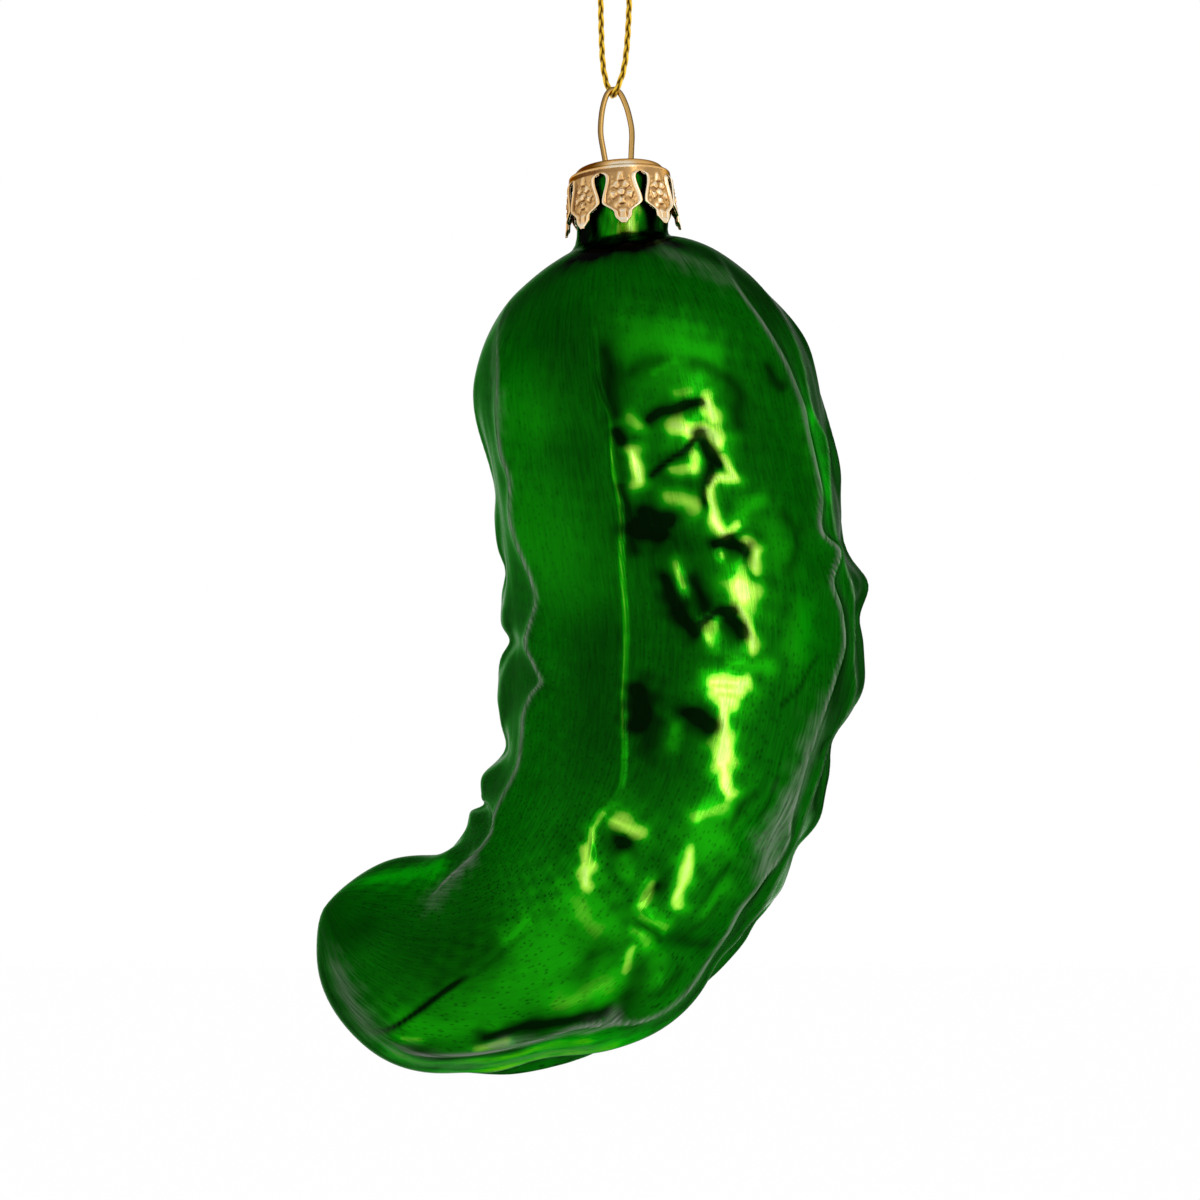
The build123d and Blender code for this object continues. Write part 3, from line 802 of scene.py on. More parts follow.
def through(points, per_span):
    """Smooth line through the points: on each span the cubic whose slopes come from the neighbours."""
    padded = np.concatenate([[2 * points[0] - points[1]], points, [2 * points[-1] - points[-2]]])
    p0, p1, p2, p3 = (padded[i:len(padded) - 3 + i, None] for i in range(4))
    t = np.linspace(0, 1, per_span, endpoint=False)[None, :, None]
    curve = p1 + 0.5 * t * (p2 - p0 + t * (2 * p0 - 5 * p1 + 4 * p2 - p3 + t * (3 * (p1 - p2) + p3 - p0)))
    return np.concatenate([curve.reshape(-1, points.shape[1]), points[-1:]])


def line_frame(line, reference):
    """Tangent, side and upper vectors along a line. The side lies as near to the reference as it can."""
    tangent = unit(np.gradient(line, axis=0))
    side = unit(reference - tangent * (tangent @ reference)[:, None])
    return tangent, side, np.cross(tangent, side)


def tube(line, radius, sides, reference):
    """Grid of a round tube: line + radius*(cos a * side + sin a * upper), drawn to a point at both ends."""
    tangent, side, upper = line_frame(line, reference)
    turn = np.linspace(0, 2 * np.pi, sides, endpoint=False)
    ring = np.cos(turn)[None, :, None] * side[:, None] + np.sin(turn)[None, :, None] * upper[:, None]
    skin = line[:, None] + radius * ring
    start = np.repeat(line[:1, None] - 0.5 * radius * tangent[:1, None], sides, axis=1)
    end = np.repeat(line[-1:, None] + 0.5 * radius * tangent[-1:, None], sides, axis=1)
    return np.concatenate([start, skin, end])


def joined(meshes):
    """Several closed meshes, as vertices, quads and triangles, in one."""
    starts = np.cumsum([0] + [len(vertices) for vertices, _, _ in meshes[:-1]])
    vertices = np.concatenate([mesh[0] for mesh in meshes])
    quads = np.concatenate([mesh[1] + start for mesh, start in zip(meshes, starts)])
    triangles = np.concatenate([mesh[2] + start for mesh, start in zip(meshes, starts)])
    return vertices, quads, triangles


def turned_out(grid):
    """Closed mesh of a grid with its faces outwards."""
    vertices, quads, triangles = closed_grid(grid)
    quads, triangles = outward(vertices, quads, triangles)
    return vertices, quads, triangles


class Value:
    """A node socket that takes part in Python expressions. Each operation adds one Math node."""

    def __init__(self, shader, socket):
        self.shader = shader
        self.socket = socket

    def combine(self, operation, first, second):
        """The result of one Math node."""
        return self.shader.add("ShaderNodeMath", {"operation": operation}, {0: first, 1: second})

    def __add__(self, other):
        return self.combine("ADD", self, other)

    def __radd__(self, other):
        return self.combine("ADD", other, self)

    def __sub__(self, other):
        return self.combine("SUBTRACT", self, other)

    def __rsub__(self, other):
        return self.combine("SUBTRACT", other, self)

    def __mul__(self, other):
        return self.combine("MULTIPLY", self, other)

    def __rmul__(self, other):
        return self.combine("MULTIPLY", other, self)

    def __truediv__(self, other):
        return self.combine("DIVIDE", self, other)

    def __rtruediv__(self, other):
        return self.combine("DIVIDE", other, self)

    def at_most(self, other):
        return self.combine("MINIMUM", self, other)

    def at_least(self, other):
        return self.combine("MAXIMUM", self, other)


class Shader:
    """Adds nodes to one node tree."""

    def __init__(self, tree):
        self.tree = tree
        tree.nodes.clear()

    def add(self, kind, settings=None, inputs=None, output=0):
        """A node of this type with its settings and its sockets' values or links, as its wrapped output."""
        node = self.tree.nodes.new(kind)
        for name, value in (settings or {}).items():
            if name == "stops":
                self.set_stops(node.color_ramp, value)
            else:
                setattr(node, name, value)
        for key, value in (inputs or {}).items():
            if isinstance(value, Value):
                self.tree.links.new(value.socket, node.inputs[key])
            else:
                node.inputs[key].default_value = value
        return Value(self, node.outputs[output]) if len(node.outputs) else None

    @staticmethod
    def set_stops(ramp, stops):
        """The ramp's stops as places and grey levels."""
        while len(ramp.elements) < len(stops):
            ramp.elements.new(1.0)
        for element, (place, level) in zip(ramp.elements, stops):
            element.position = place
            element.color = (level, level, level, 1)

    def ramp(self, value, *stops):
        """A value carried through a ramp of grey levels."""
        return self.add("ShaderNodeValToRGB", {"stops": stops}, {"Fac": value})

    def blend(self, factor, first, second):
        """Mix of two colours."""
        settings = {"data_type": "RGBA"}
        return self.add("ShaderNodeMix", settings, {"Factor": factor, 6: first, 7: second}, output=2)

    def place(self):
        """The piece's own coordinates."""
        return self.add("ShaderNodeTexCoord", output="Object")

    def value_of(self, name):
        """A number kept on the vertices."""
        return self.add("ShaderNodeAttribute", {"attribute_name": name}, output="Fac")

    def vector_of(self, name):
        """A vector kept on the vertices."""
        return self.add("ShaderNodeAttribute", {"attribute_name": name}, output="Vector")

    def axes(self, vector):
        """The three parts of a vector."""
        first = self.add("ShaderNodeSeparateXYZ", None, {0: vector})
        return [Value(self, output) for output in first.socket.node.outputs]

    def noise(self, vector, scale, detail, roughness=0.5):
        """Cloudy noise from 0 to 1."""
        inputs = {"Vector": vector, "Scale": scale, "Detail": detail, "Roughness": roughness}
        return self.add("ShaderNodeTexNoise", None, inputs)

    def stretched(self, vector, scale):
        """A vector with each part times its own scale."""
        return self.add("ShaderNodeVectorMath", {"operation": "MULTIPLY"}, {0: vector, 1: scale})

    def bump(self, height, strength, distance):
        """A normal that follows a height."""
        inputs = {"Height": height, "Strength": strength, "Distance": distance}
        return self.add("ShaderNodeBump", None, inputs)

    def mixed(self, factor, first, second):
        """Mix of two shaders."""
        return self.add("ShaderNodeMixShader", None, {0: factor, 1: first, 2: second})

    def surface(self, shader):
        """Gives the shader to the material's output."""
        self.add("ShaderNodeOutputMaterial", None, {"Surface": shader})

    def metal(self, inputs):
        """A metallic surface with these inputs, given to the material's output."""
        self.surface(self.add("ShaderNodeBsdfPrincipled", None, {"Metallic": 1.0, **inputs}))


def opaque(rgb):
    """A colour property as four numbers."""
    return (*rgb, 1.0)


def new_material(name):
    """An empty node material and its shader builder."""
    material = bpy.data.materials.new(name)
    material.use_nodes = True
    return material, Shader(material.node_tree)


def green_lacquer():
    """Transparent green over silver.

    It carries painted highlights from light green to yellow, painted shade near black and a painted grey
    sheen, and is streaked along the body with small dark pits.
    """
    colours = sizes_of("pickle_colours")
    material, shader = new_material("green_lacquer")
    grain = shader.vector_of("grain")
    thin = shader.value_of("thin")
    worn = shader.value_of("worn")
    pool = shader.value_of("pool")
    streak = shader.noise(shader.stretched(grain, (3.0, 3.0, 0.3)), 1.0, 3.0, 0.6)
    cloud = shader.noise(shader.place(), 90.0, 3.0)
    cells = {"Vector": shader.stretched(grain, (1.7, 1.7, 1.25)), "Scale": 1.0}
    pits = shader.add("ShaderNodeTexVoronoi", {"feature": "F1"}, cells)

    deep = [0.42 * level for level in colours.lacquer]
    shade = shader.ramp(streak * 0.65 + cloud * 0.35, (0.32, 0.0), (0.62, 1.0))
    body = shader.blend(shade, opaque(deep), opaque(colours.lacquer))
    # Painted highlight: light green, then yellow green, then a pale yellow core
    uneven = thin * (0.86 + 0.28 * streak)
    light = shader.blend(shader.ramp(uneven, (0.0, 0.0), (0.5, 1.0)), body, opaque(colours.light))
    glint = shader.blend(shader.ramp(uneven, (0.42, 0.0), (0.90, 1.0)), light, opaque(colours.glint))
    glint = shader.blend(shader.ramp(uneven, (0.88, 0.0), (1.0, 0.9)), glint, opaque(colours.core))
    # Painted shade: near black where the shade mask is high
    pooled = shader.blend(shader.ramp(pool, (0.04, 0.0), (0.85, 0.97)), glint, opaque(colours.pool))

    along = shader.axes(grain)[2]
    lower = shader.ramp(along / GRAIN_LENGTH, (0.35, 0.45), (0.75, 1.0))
    pit = shader.ramp(pits, (0.14, 1.0), (0.36, 0.0)) * lower
    pit = pit * shader.ramp(cloud, (0.35, 0.5), (0.65, 0.95))
    pit = pit * (1 - uneven).at_least(0.25) * (1 - pool)
    pitted = shader.blend(pit, pooled, opaque(colours.pit))
    # Painted grey sheen, broken up by the streaks
    rubbed = worn * shader.ramp(streak, (0.36, 0.25), (0.62, 1.0))
    shader.metal({
        "Base Color": shader.blend(rubbed, pitted, opaque(colours.worn)),
        "Roughness": 0.18 + 0.06 * streak,
        "Specular Tint": (0.08, 0.38, 0.08, 1.0),
        "Normal": shader.bump(streak * 0.25 + cloud * 0.15, 0.25, 0.4 * MM),
        "Coat Weight": 0.02 + 0.2 * worn,
        "Coat Roughness": 0.12,
    })
    return material


def stamped_gold():
    """Rosy gold sheet with painted shade in the recesses of the stamping and at the left of the rim and
    dome, and painted white gold highlights where its edges face the light.
    """
    colours = sizes_of("pickle_colours")
    material, shader = new_material("stamped_gold")
    cloud = shader.noise(shader.place(), 700.0, 4.0)
    # The relief values hold painted light and shade: low in recesses and at the left, high on raised parts
    # and edges that face up
    level = shader.value_of("relief") + 0.2 * cloud - 0.1
    raised = shader.ramp(level, (0.05, 0.0), (0.62, 1.0))
    gold = shader.blend(raised, opaque(colours.cap_recess), opaque(colours.cap))
    gleam = shader.ramp(level, (0.66, 0.0), (0.98, 1.0))
    shader.metal({
        "Base Color": shader.blend(gleam, gold, opaque(colours.cap_gleam)),
        "Roughness": 0.14 + 0.08 * cloud,
        "Specular Tint": (0.55, 0.38, 0.22, 1.0),
        "Normal": shader.bump(cloud, 0.2, 0.08 * MM),
    })
    return material


def wire_gold():
    """Brownish gold drawn wire with faint lengthwise scratches, with painted shade where it turns away from
    the front and a painted highlight line along it.
    """
    colours = sizes_of("pickle_colours")
    material, shader = new_material("wire_gold")
    scratches = shader.noise(shader.stretched(shader.place(), (2600.0, 2600.0, 160.0)), 1.0, 3.0)
    facing = shader.value_of("facing")
    # Painted shade on the sides that turn away and a painted highlight where the wire faces the front
    dark = [0.35 * level for level in colours.wire]
    bright = [min(1.0, 1.7 * level) for level in colours.wire]
    drawn = shader.blend(shader.ramp(facing, (0.25, 0.0), (0.75, 1.0)), opaque(dark), opaque(colours.wire))
    gleam = shader.ramp(facing + 0.1 * scratches, (0.90, 0.0), (1.0, 1.0))
    shader.metal({
        "Base Color": shader.blend(gleam, drawn, opaque(bright)),
        "Roughness": 0.18 + 0.12 * scratches,
        "Specular Tint": (0.25, 0.18, 0.10, 1.0),
        "Normal": shader.bump(scratches, 0.15, 0.04 * MM),
    })
    return material


def cord_gold():
    """Bright metallic yarn: fine filaments along each strand, with painted shade between the strands where
    they turn in towards the cord's middle.
    """
    colours = sizes_of("pickle_colours")
    material, shader = new_material("cord_gold")
    filament = shader.noise(shader.stretched(shader.vector_of("lay"), (9.0, 9.0, 0.6)), 1.0, 3.0)
    # Painted shade: only the outermost sides of the strands keep the cord's own colour
    lit = shader.ramp(shader.value_of("crown") + 0.3 * filament - 0.15, (0.60, 0.0), (0.95, 1.0))
    shader.metal({
        "Base Color": shader.blend(lit, opaque(colours.cord_gap), opaque(colours.cord)),
        "Roughness": 0.30 + 0.14 * filament,
        "Normal": shader.bump(filament, 0.35, 0.05 * MM),
    })
    return material


def spine(glass, s):
    """Points of the spine at lengths s and its headings from straight down.

    A straight run, then an arc of the wide radius, then one of the tight radius. On an arc the place
    moves by R*(cos(end) - cos(start)) across and R*(sin(end) - sin(start)) up.
    """
    wide = glass.wide_radius * glass.wide_angle
    run = np.minimum(s, glass.straight_run)
    in_wide = np.clip(s - glass.straight_run, 0, wide)
    in_tight = np.clip(s - glass.straight_run - wide, 0, None)
    lean = glass.body_lean
    middle = lean - in_wide / glass.wide_radius
    heading = middle - in_tight / glass.tight_radius
    across = (run * np.sin(lean) + glass.wide_radius * (np.cos(middle) - np.cos(lean))
              + glass.tight_radius * (np.cos(heading) - np.cos(middle)))
    up = (-run * np.cos(lean) + glass.wide_radius * (np.sin(middle) - np.sin(lean))
          + glass.tight_radius * (np.sin(heading) - np.sin(middle)))
    return across, up, heading


def round_end(t, powers):
    """Round end of a body, 1 at t = 0 and 0 at t = 1: (1 - t^a)^b."""
    return (1 - t ** powers[0]) ** powers[1]


def half_width(glass, s):
    """Half width across the spine: shoulder, belly and toe, closed by a dome at each end."""
    to_belly = ease(s / glass.belly_place)
    to_toe = ease((s - glass.belly_place) / (glass.body_length - glass.belly_place))
    width = glass.shoulder_width + (glass.belly_width - glass.shoulder_width) * to_belly
    width = width + (glass.toe_width - glass.belly_width) * to_toe
    from_neck = np.clip(1 - s / glass.shoulder_dome, 0, 1)
    from_toe = np.clip(1 - (glass.body_length - s) / glass.toe_dome, 0, 1)
    return width / 2 * round_end(from_neck, SHOULDER_POWERS) * round_end(from_toe, TOE_POWERS)


def glass_profile(glass):
    """Outside profile from the lip to the toe, as lengths along the axis and radii.

    The neck is straight. A round of the cove's radius joins it to the shoulder's dome, and its middle
    is the place beside the neck that lies one cove radius from the dome.
    """
    body_points, tries, near_neck = 1200, 600, 200
    cove_points, neck_points = 40, 60
    s = glass.body_length * (1 - np.cos(np.linspace(0, np.pi, body_points))) / 2
    body = np.stack([s, half_width(glass, s)], axis=-1)
    middles = np.linspace(-2.5 * glass.neck_cove, 0, tries)
    middles = np.stack([middles, np.full(tries, glass.neck_radius + glass.neck_cove)], axis=-1)
    near = body[:near_neck]
    apart = np.linalg.norm(middles[:, None] - near[None], axis=-1)
    best = np.argmin(np.abs(apart.min(axis=1) - glass.neck_cove))
    touch = np.argmin(apart[best])
    middle = middles[best]
    end = np.arctan2(near[touch, 0] - middle[0], middle[1] - near[touch, 1])
    turn = np.linspace(0, end, cove_points)
    cove = middle + glass.neck_cove * np.stack([np.sin(turn), -np.cos(turn)], axis=-1)
    top = glass.neck_top - glass.neck_length
    down = np.linspace(top, middle[0], neck_points)
    neck = np.stack([down, np.full(neck_points, glass.neck_radius)], axis=-1)
    return np.concatenate([neck[:-1], cove, body[touch + 1:]])


def profile_rows(profile, fine_from, fine_to, fine_step, coarse_step):
    """The profile with rows a fine step apart between two places and a coarse step apart elsewhere."""
    along = np.concatenate([[0], np.cumsum(np.linalg.norm(np.diff(profile, axis=0), axis=1))])
    inside = (profile[:, 0] > fine_from) & (profile[:, 0] < fine_to)
    density = np.where(inside, 1 / fine_step, 1 / coarse_step)
    rows = np.concatenate([[0], np.cumsum(np.diff(along) * (density[1:] + density[:-1]) / 2)])
    wanted = np.linspace(0, rows[-1], int(rows[-1]) + 1)
    return np.stack([np.interp(wanted, rows, profile[:, i]) for i in range(2)], axis=-1)


def axis_frame(glass, s):
    """Middle of the section and its heading: the neck's axis above, the spine below, eased between."""
    cap = sizes_of("pickle_cap")
    foot = EYE + DOWN_NECK * (cap.drop + glass.neck_length)
    across, up, heading = spine(glass, s)
    share = ease((s + NECK_EASE) / (2 * NECK_EASE))
    neck_heading = np.arcsin(DOWN_NECK[0])
    body_x = foot[0] - glass.body_offset + across
    body_z = foot[2] + up
    x = (1 - share) * (foot[0] + s * DOWN_NECK[0]) + share * body_x
    z = (1 - share) * (foot[2] + s * DOWN_NECK[2]) + share * body_z
    heading = (1 - share) * neck_heading + share * heading
    return x, z, heading


def plain_skin(glass, s, radius, turn):
    """Smooth body: middle + out*sin(turn)*r + front*cos(turn)*r*depth, on a grid of lengths and angles."""
    x, z, heading = axis_frame(glass, s)
    depth = 1 - (1 - glass.depth_ratio) * ease(s / NECK_FLATTEN)
    side = np.sin(turn)[None] * radius[:, None]
    forward = np.cos(turn)[None] * (radius * depth)[:, None]
    return np.stack([
        x[:, None] + np.cos(heading)[:, None] * side,
        -forward,
        z[:, None] + np.sin(heading)[:, None] * side,
    ], axis=-1)


def crease(apart, flank, soft):
    """A crest with hollow flanks, 1 at the crest: exp(-(sqrt(d^2+e^2)-e)/flank), where e softens it."""
    return np.exp(-(np.sqrt(apart**2 + soft**2) - soft) / flank)


def ridges(glass, s, turn):
    """Height of the ridges. Those at the sides and back sway evenly, those in front follow their lines.

    An even ridge is a crease in |sin(phase/2)|, where phase counts the ridges round the body.
    """
    sway = 2 * np.pi * s / glass.wander_length + SWAY_SHIFT * turn + glass.wander_phase
    phase = glass.ridge_count * (turn - glass.ridge_angle - glass.wander * np.sin(sway))
    at_side = ease((-turn - LEFT_SIDE) / LEFT_FADE) + ease((turn - RIGHT_SIDE) / RIGHT_FADE)
    crest = crease(np.sin(phase / 2), EVEN_FLANK, EVEN_SOFT) * at_side
    for rise, flank, line in SHARP_RIDGES:
        apart, present = beside_line(glass, line, s, turn)
        crest = crest + rise / WHOLE_RIDGE * present * crease(apart, flank * MM, SHARP_SOFT * flank * MM)
    bend = ease((s - glass.straight_run) / (glass.body_length - glass.straight_run))
    inside = np.clip(-np.sin(turn), 0, None) * bend
    fade = ease(s / glass.shoulder_fade) * ease((glass.body_length - s) / glass.toe_fade)
    return glass.ridge_height * fade * (1 - BEND_LOSS * inside) * (CREST_SHARE * crest - VALLEY_SHARE)


def bells(glass, bumps, s, turn):
    """Sum of bell shapes: height*exp(-(along/length)^2 - (across/width)^2), along turned by the slant."""
    table = np.array(bumps, float)
    slants = table[:, 5] * DEGREE if table.shape[1] > 5 else np.zeros(len(table))
    total = np.zeros(np.broadcast(s, turn).shape)
    width = half_width(glass, s)
    for (place, towards, height, long, wide), slant in zip(table[:, :5], slants):
        along = s - place * MM
        across = 2 * np.sin((turn - towards * DEGREE) / 2) * width
        first = (along * np.cos(slant) + across * np.sin(slant)) / (long * MM)
        second = (across * np.cos(slant) - along * np.sin(slant)) / (wide * MM)
        total = total + height * MM * np.exp(-(first**2) - second**2)
    return total


def beside_line(glass, line, s, turn):
    """Distance across the skin from a line given by places and angles, and how much of the line is here."""
    table = np.array(line, float)
    smooth = through(table, 12)
    towards = np.interp(s, smooth[:, 0] * MM, smooth[:, 1] * DEGREE)
    start, end = table[0, 0] * MM, table[-1, 0] * MM
    present = ease((s - start) / LINE_START) * ease((end - s) / LINE_END)
    return (turn - towards) * half_width(glass, s), present


def other_half(s, turn):
    """The place on the mould's front half whose ornament the back half repeats here, a little lower."""
    mirrored = np.arctan2(np.sin(turn), -np.cos(turn))
    return s - BACK_DROP, mirrored


def below_neck(rows):
    """The strokes that start below the shoulder."""
    return [row for row in rows if row[0] > SHOULDER_END_MM]


def glass_height(glass, s, turn):
    """Height of the skin over the plain body: ridges, lumps, warts on both halves, seam and groove."""
    height = ridges(glass, s, turn) + bells(glass, LUMPS, s, turn) + bells(glass, WARTS, s, turn)
    height = height + BACK_WARTS * bells(glass, WARTS, *other_half(s, turn))
    apart, present = beside_line(glass, SEAM, s, turn)
    height = height + glass.seam_height * present * np.exp(-((apart / glass.seam_width) ** 2))
    apart, present = beside_line(glass, GROOVE, s, turn)
    return height - GROOVE_DEPTH * present * np.exp(-((apart / GROOVE_WIDTH) ** 2))


def strokes(glass, rows, edge, s, turn):
    """Soft strokes on the skin: the greatest of strength*((1-h)*exp(-q^2) + h*exp(-(q/reach)^2)).

    Here q is the distance from the stroke's line over its width, h is the halo's share and reach is how
    much wider the halo is. The places waver and the width swells a little, so that no edge is straight.
    """
    spread, halo = edge
    u, v = s / MM, GRAIN_RADIUS * turn
    s = s + WAVER * np.sin(0.9 * u + 0.7 * v + 0.6 * np.sin(0.8 * v))
    waver = WAVER * np.sin(0.8 * v - 1.1 * u + 2)
    swell = spread * (1 + SWELL * np.sin(1.9 * u + 0.8 * v) * np.sin(1.5 * v - 0.7 * u + 1))
    total = np.zeros(np.broadcast(s, turn).shape)
    for from_s, from_turn, to_s, to_turn, width, strength in rows:
        around = max(half_width(glass, 0.5 * (from_s + to_s) * MM), glass.neck_radius)
        run, swing = (to_s - from_s) * MM, (to_turn - from_turn) * DEGREE * around
        along, across = s - from_s * MM, (turn - from_turn * DEGREE) * around + waver
        share = np.clip((along * run + across * swing) / (run**2 + swing**2), 0, 1)
        apart = np.hypot(along - share * run, across - share * swing)
        apart = apart / (swell * width * MM)
        soft = (1 - halo) * np.exp(-(apart**2)) + halo * np.exp(-((apart / HALO_REACH) ** 2))
        total = np.maximum(total, strength * soft)
    return total


def both_halves(glass, rows, edge, s, turn):
    """The strokes of the front half, and those of the back half that repeat them."""
    front = strokes(glass, rows, edge, s, turn)
    back = BACK_PAINT * strokes(glass, below_neck(rows), edge, *other_half(s, turn))
    return np.maximum(front, back)


def thin_lacquer(glass, s, turn):
    """Painted highlight, from 0 to 1: at the light strokes and along the middle of the seam."""
    apart, present = beside_line(glass, SEAM, s, turn)
    middle = ease((s - SEAM_LIGHT_FROM) / SEAM_LIGHT_RISE) * ease((SEAM_LIGHT_TO - s) / SEAM_LIGHT_FALL)
    seam = SEAM_LIGHT * present * middle * np.exp(-((apart / (0.7 * glass.seam_width)) ** 2))
    return np.clip(np.maximum(both_halves(glass, LIGHT_STROKES, LIGHT_EDGE, s, turn), seam), 0, 1)


def pooled_lacquer(glass, s, turn):
    """Painted shade, from 0 to 1: at the dark strokes and low in the groove."""
    apart, present = beside_line(glass, GROOVE, s, turn)
    lower = ease((s - GROOVE_DARK_FROM) / GROOVE_DARK_RISE)
    groove = present * lower * np.exp(-((apart / GROOVE_STAIN) ** 2))
    return np.clip(np.maximum(both_halves(glass, DARK_STROKES, DARK_EDGE, s, turn), groove), 0, 1)


def worn_lacquer(glass, s, turn):
    """Painted grey sheen, from 0 to 1: at the sheen strokes and along the sharp ridges."""
    rubbed = strokes(glass, WORN_STROKES, WORN_EDGE, s, turn)
    for line in (LEFT_RIDGE, RIGHT_RIDGE, OUTER_RIDGE):
        apart, present = beside_line(glass, line, s, turn)
        rubbed = np.maximum(rubbed, present * np.exp(-((apart / RUBBED_WIDTH) ** 2)))
    return rubbed


def skin_normals(points):
    """Unit normals of a grid that is closed round its columns, from the slopes along both ways."""
    wrapped = np.concatenate([points[:, -1:], points, points[:, :1]], axis=1)
    round_about = np.gradient(wrapped, axis=1)[:, 1:-1]
    along = np.gradient(points, axis=0)
    normals = np.cross(along, round_about)
    return normals / np.maximum(np.linalg.norm(normals, axis=-1, keepdims=True), 1e-12)


def build_glass():
    """The shell as one closed grid: up the inside from the toe, over the lip and down the outside."""
    glass = sizes_of("pickle_glass")
    profile = glass_profile(glass)
    outside = profile_rows(profile, FINE_FROM, FINE_TO, FINE_STEP, COARSE_STEP)[:-1]
    t = np.linspace(-np.pi, np.pi, glass.columns, endpoint=False)
    turn = t - GATHER * np.sin(t - GATHER_AT)
    s, radius = outside[:, 0], outside[:, 1]
    plain = plain_skin(glass, s, radius, turn)
    normals = skin_normals(plain)
    normals *= np.sign(np.einsum("ijk,ijk->", normals, plain - plain.mean(axis=1, keepdims=True)))
    lift = glass_height(glass, s[:, None], turn[None]) * ease(s / ORNAMENT_RISE)[:, None]
    skin = plain + normals * lift[..., None]

    in_neck = np.arange(0, NECK_ROWS, NECK_SKIP)
    in_body = np.arange(NECK_ROWS, len(s), BODY_SKIP)
    chosen = np.unique(np.concatenate([in_neck, in_body, [len(s) - 1]]))
    inner = (skin - normals * glass.wall)[chosen][::-1]
    lip_turn = np.linspace(0, np.pi, LIP_ROWS)[1:-1]
    rim_in, rim_out = inner[-1], skin[0]
    middle, half = (rim_in + rim_out) / 2, (rim_out - rim_in) / 2
    lip = (middle[None] - np.cos(lip_turn)[:, None, None] * half[None]
           + np.sin(lip_turn)[:, None, None] * UP_NECK * glass.wall / 2)

    last, before = skin[-1].mean(axis=0), skin[-6].mean(axis=0)
    toe = last + unit(last - before) * 0.05 * MM
    toe_in = inner[0].mean(axis=0)
    ends = [np.tile(end, (1, glass.columns, 1)) for end in (toe_in, toe)]
    grid = np.concatenate([ends[0], inner, lip, skin, ends[1]])
    piece = make_piece("glass_shell", *turned_out(grid), green_lacquer(), "bauble", "glass_pickle",
                       "green_glass")

    lengths = np.concatenate([s[chosen][::-1], np.full(len(lip), s[0]), s])
    grain = np.stack(np.broadcast_arrays(
        GRAIN_RADIUS * np.sin(turn)[None],
        GRAIN_RADIUS * np.cos(turn)[None],
        lengths[:, None] / MM,
    ), axis=-1)
    poles = np.array([[0, 0, glass.body_length / MM]] * 2)
    add_vector(piece, "grain", np.concatenate([grain.reshape(-1, 3), poles]))
    for name, paint in (("thin", thin_lacquer), ("pool", pooled_lacquer), ("worn", worn_lacquer)):
        values = paint(glass, lengths[:, None], turn[None])
        add_value(piece, name, np.concatenate([values.ravel(), [0, 0]]))


def petal_half_width(cap, depth):
    """Half width of a petal at a depth below the rim, as the pitch less the gap beside it."""
    half_pitch = (cap.rim_radius + cap.petal_flare) * np.sin(np.pi / cap.petals)
    arch_end = cap.gap_start + cap.gap_radius
    drop = np.clip(arch_end - depth, 0, cap.gap_radius)
    arch = np.sqrt(cap.gap_radius**2 - drop**2)
    closing = ease((depth - arch_end) / (cap.gap_waist_depth - arch_end))
    gap = arch + (cap.gap_waist / 2 - cap.gap_radius) * closing
    tip_start = cap.petal_length - cap.tip_length
    opening = ease((depth - cap.gap_waist_depth) / (tip_start - cap.gap_waist_depth))
    gap = gap + (half_pitch - cap.tip_width / 2 - cap.gap_waist / 2) * opening
    round_tip = np.clip((depth - tip_start) / cap.tip_length, 0, 1)
    tip = 1 - TIP_CUT * round_tip**TIP_POWER
    return np.where(depth < cap.gap_start, half_pitch, np.maximum(half_pitch - gap, 0) * tip), half_pitch


def petal_relief(cap, x, depth, half):
    """Stamped ornament of a petal, from 0 to about 1, each form an eased step at its own edge.

    A broad border follows the petal's edge, with a row of beads inside it. In the middle stands a boss
    with leaves round it, a spear above them, two lobes below and a tongue at the tip.
    """
    x, depth, half = x / MM, depth / MM, half / MM
    length_mm = cap.petal_length / MM
    edge = np.minimum(half - np.abs(x), (length_mm - depth) * 0.9)
    below = ease((depth - 0.4) / 0.5)
    border = ease((edge + 0.04) / 0.14) * ease((BORDER - edge) / 0.16)
    beads = np.exp(-(((edge - BEAD_LINE) / 0.14) ** 2))
    beads = beads * (0.5 + 0.5 * np.cos(2 * np.pi * depth / BEAD_PITCH))
    beads = beads * ease((depth - 0.9) / 0.4) * ease((4.6 - depth) / 0.5)
    reach = np.hypot(x, depth - BOSS_DEPTH)
    around = np.arctan2(x, depth - BOSS_DEPTH)
    boss = ease((BOSS_RADIUS - reach) / 0.16)
    leaves = ease((LEAF_REACH - np.abs(reach - LEAF_RING)) / 0.2)
    leaves = leaves * ease((np.cos(LEAF_COUNT * around) + 0.3) / 0.6)
    spear = ease((0.10 + 0.26 * depth - np.abs(x)) / 0.12)
    spear = spear * ease((depth - 0.5) / 0.2) * ease((1.75 - depth) / 0.3)
    lobes = np.exp(-(((np.abs(x) - 0.62) / 0.26) ** 2) - ((depth - 4.55) / 0.30) ** 2)
    tongue = ease((0.42 - np.abs(x)) / 0.14) * ease((depth - 4.9) / 0.4)
    total = border + 0.35 * beads + boss + 0.8 * leaves + 0.7 * spear + 0.7 * lobes + 0.8 * tongue
    return np.clip(total, 0, 1.1) * below


def cap_point(cap, radius, turn, height):
    """Points of the cap from a radius, an angle from the front and a height over the rim."""
    centre = EYE + DOWN_NECK * cap.drop
    side = (radius * np.sin(turn))[..., None] * ACROSS_NECK
    forward = (radius * np.cos(turn))[..., None] * FRONT
    return centre + side + forward + height[..., None] * UP_NECK


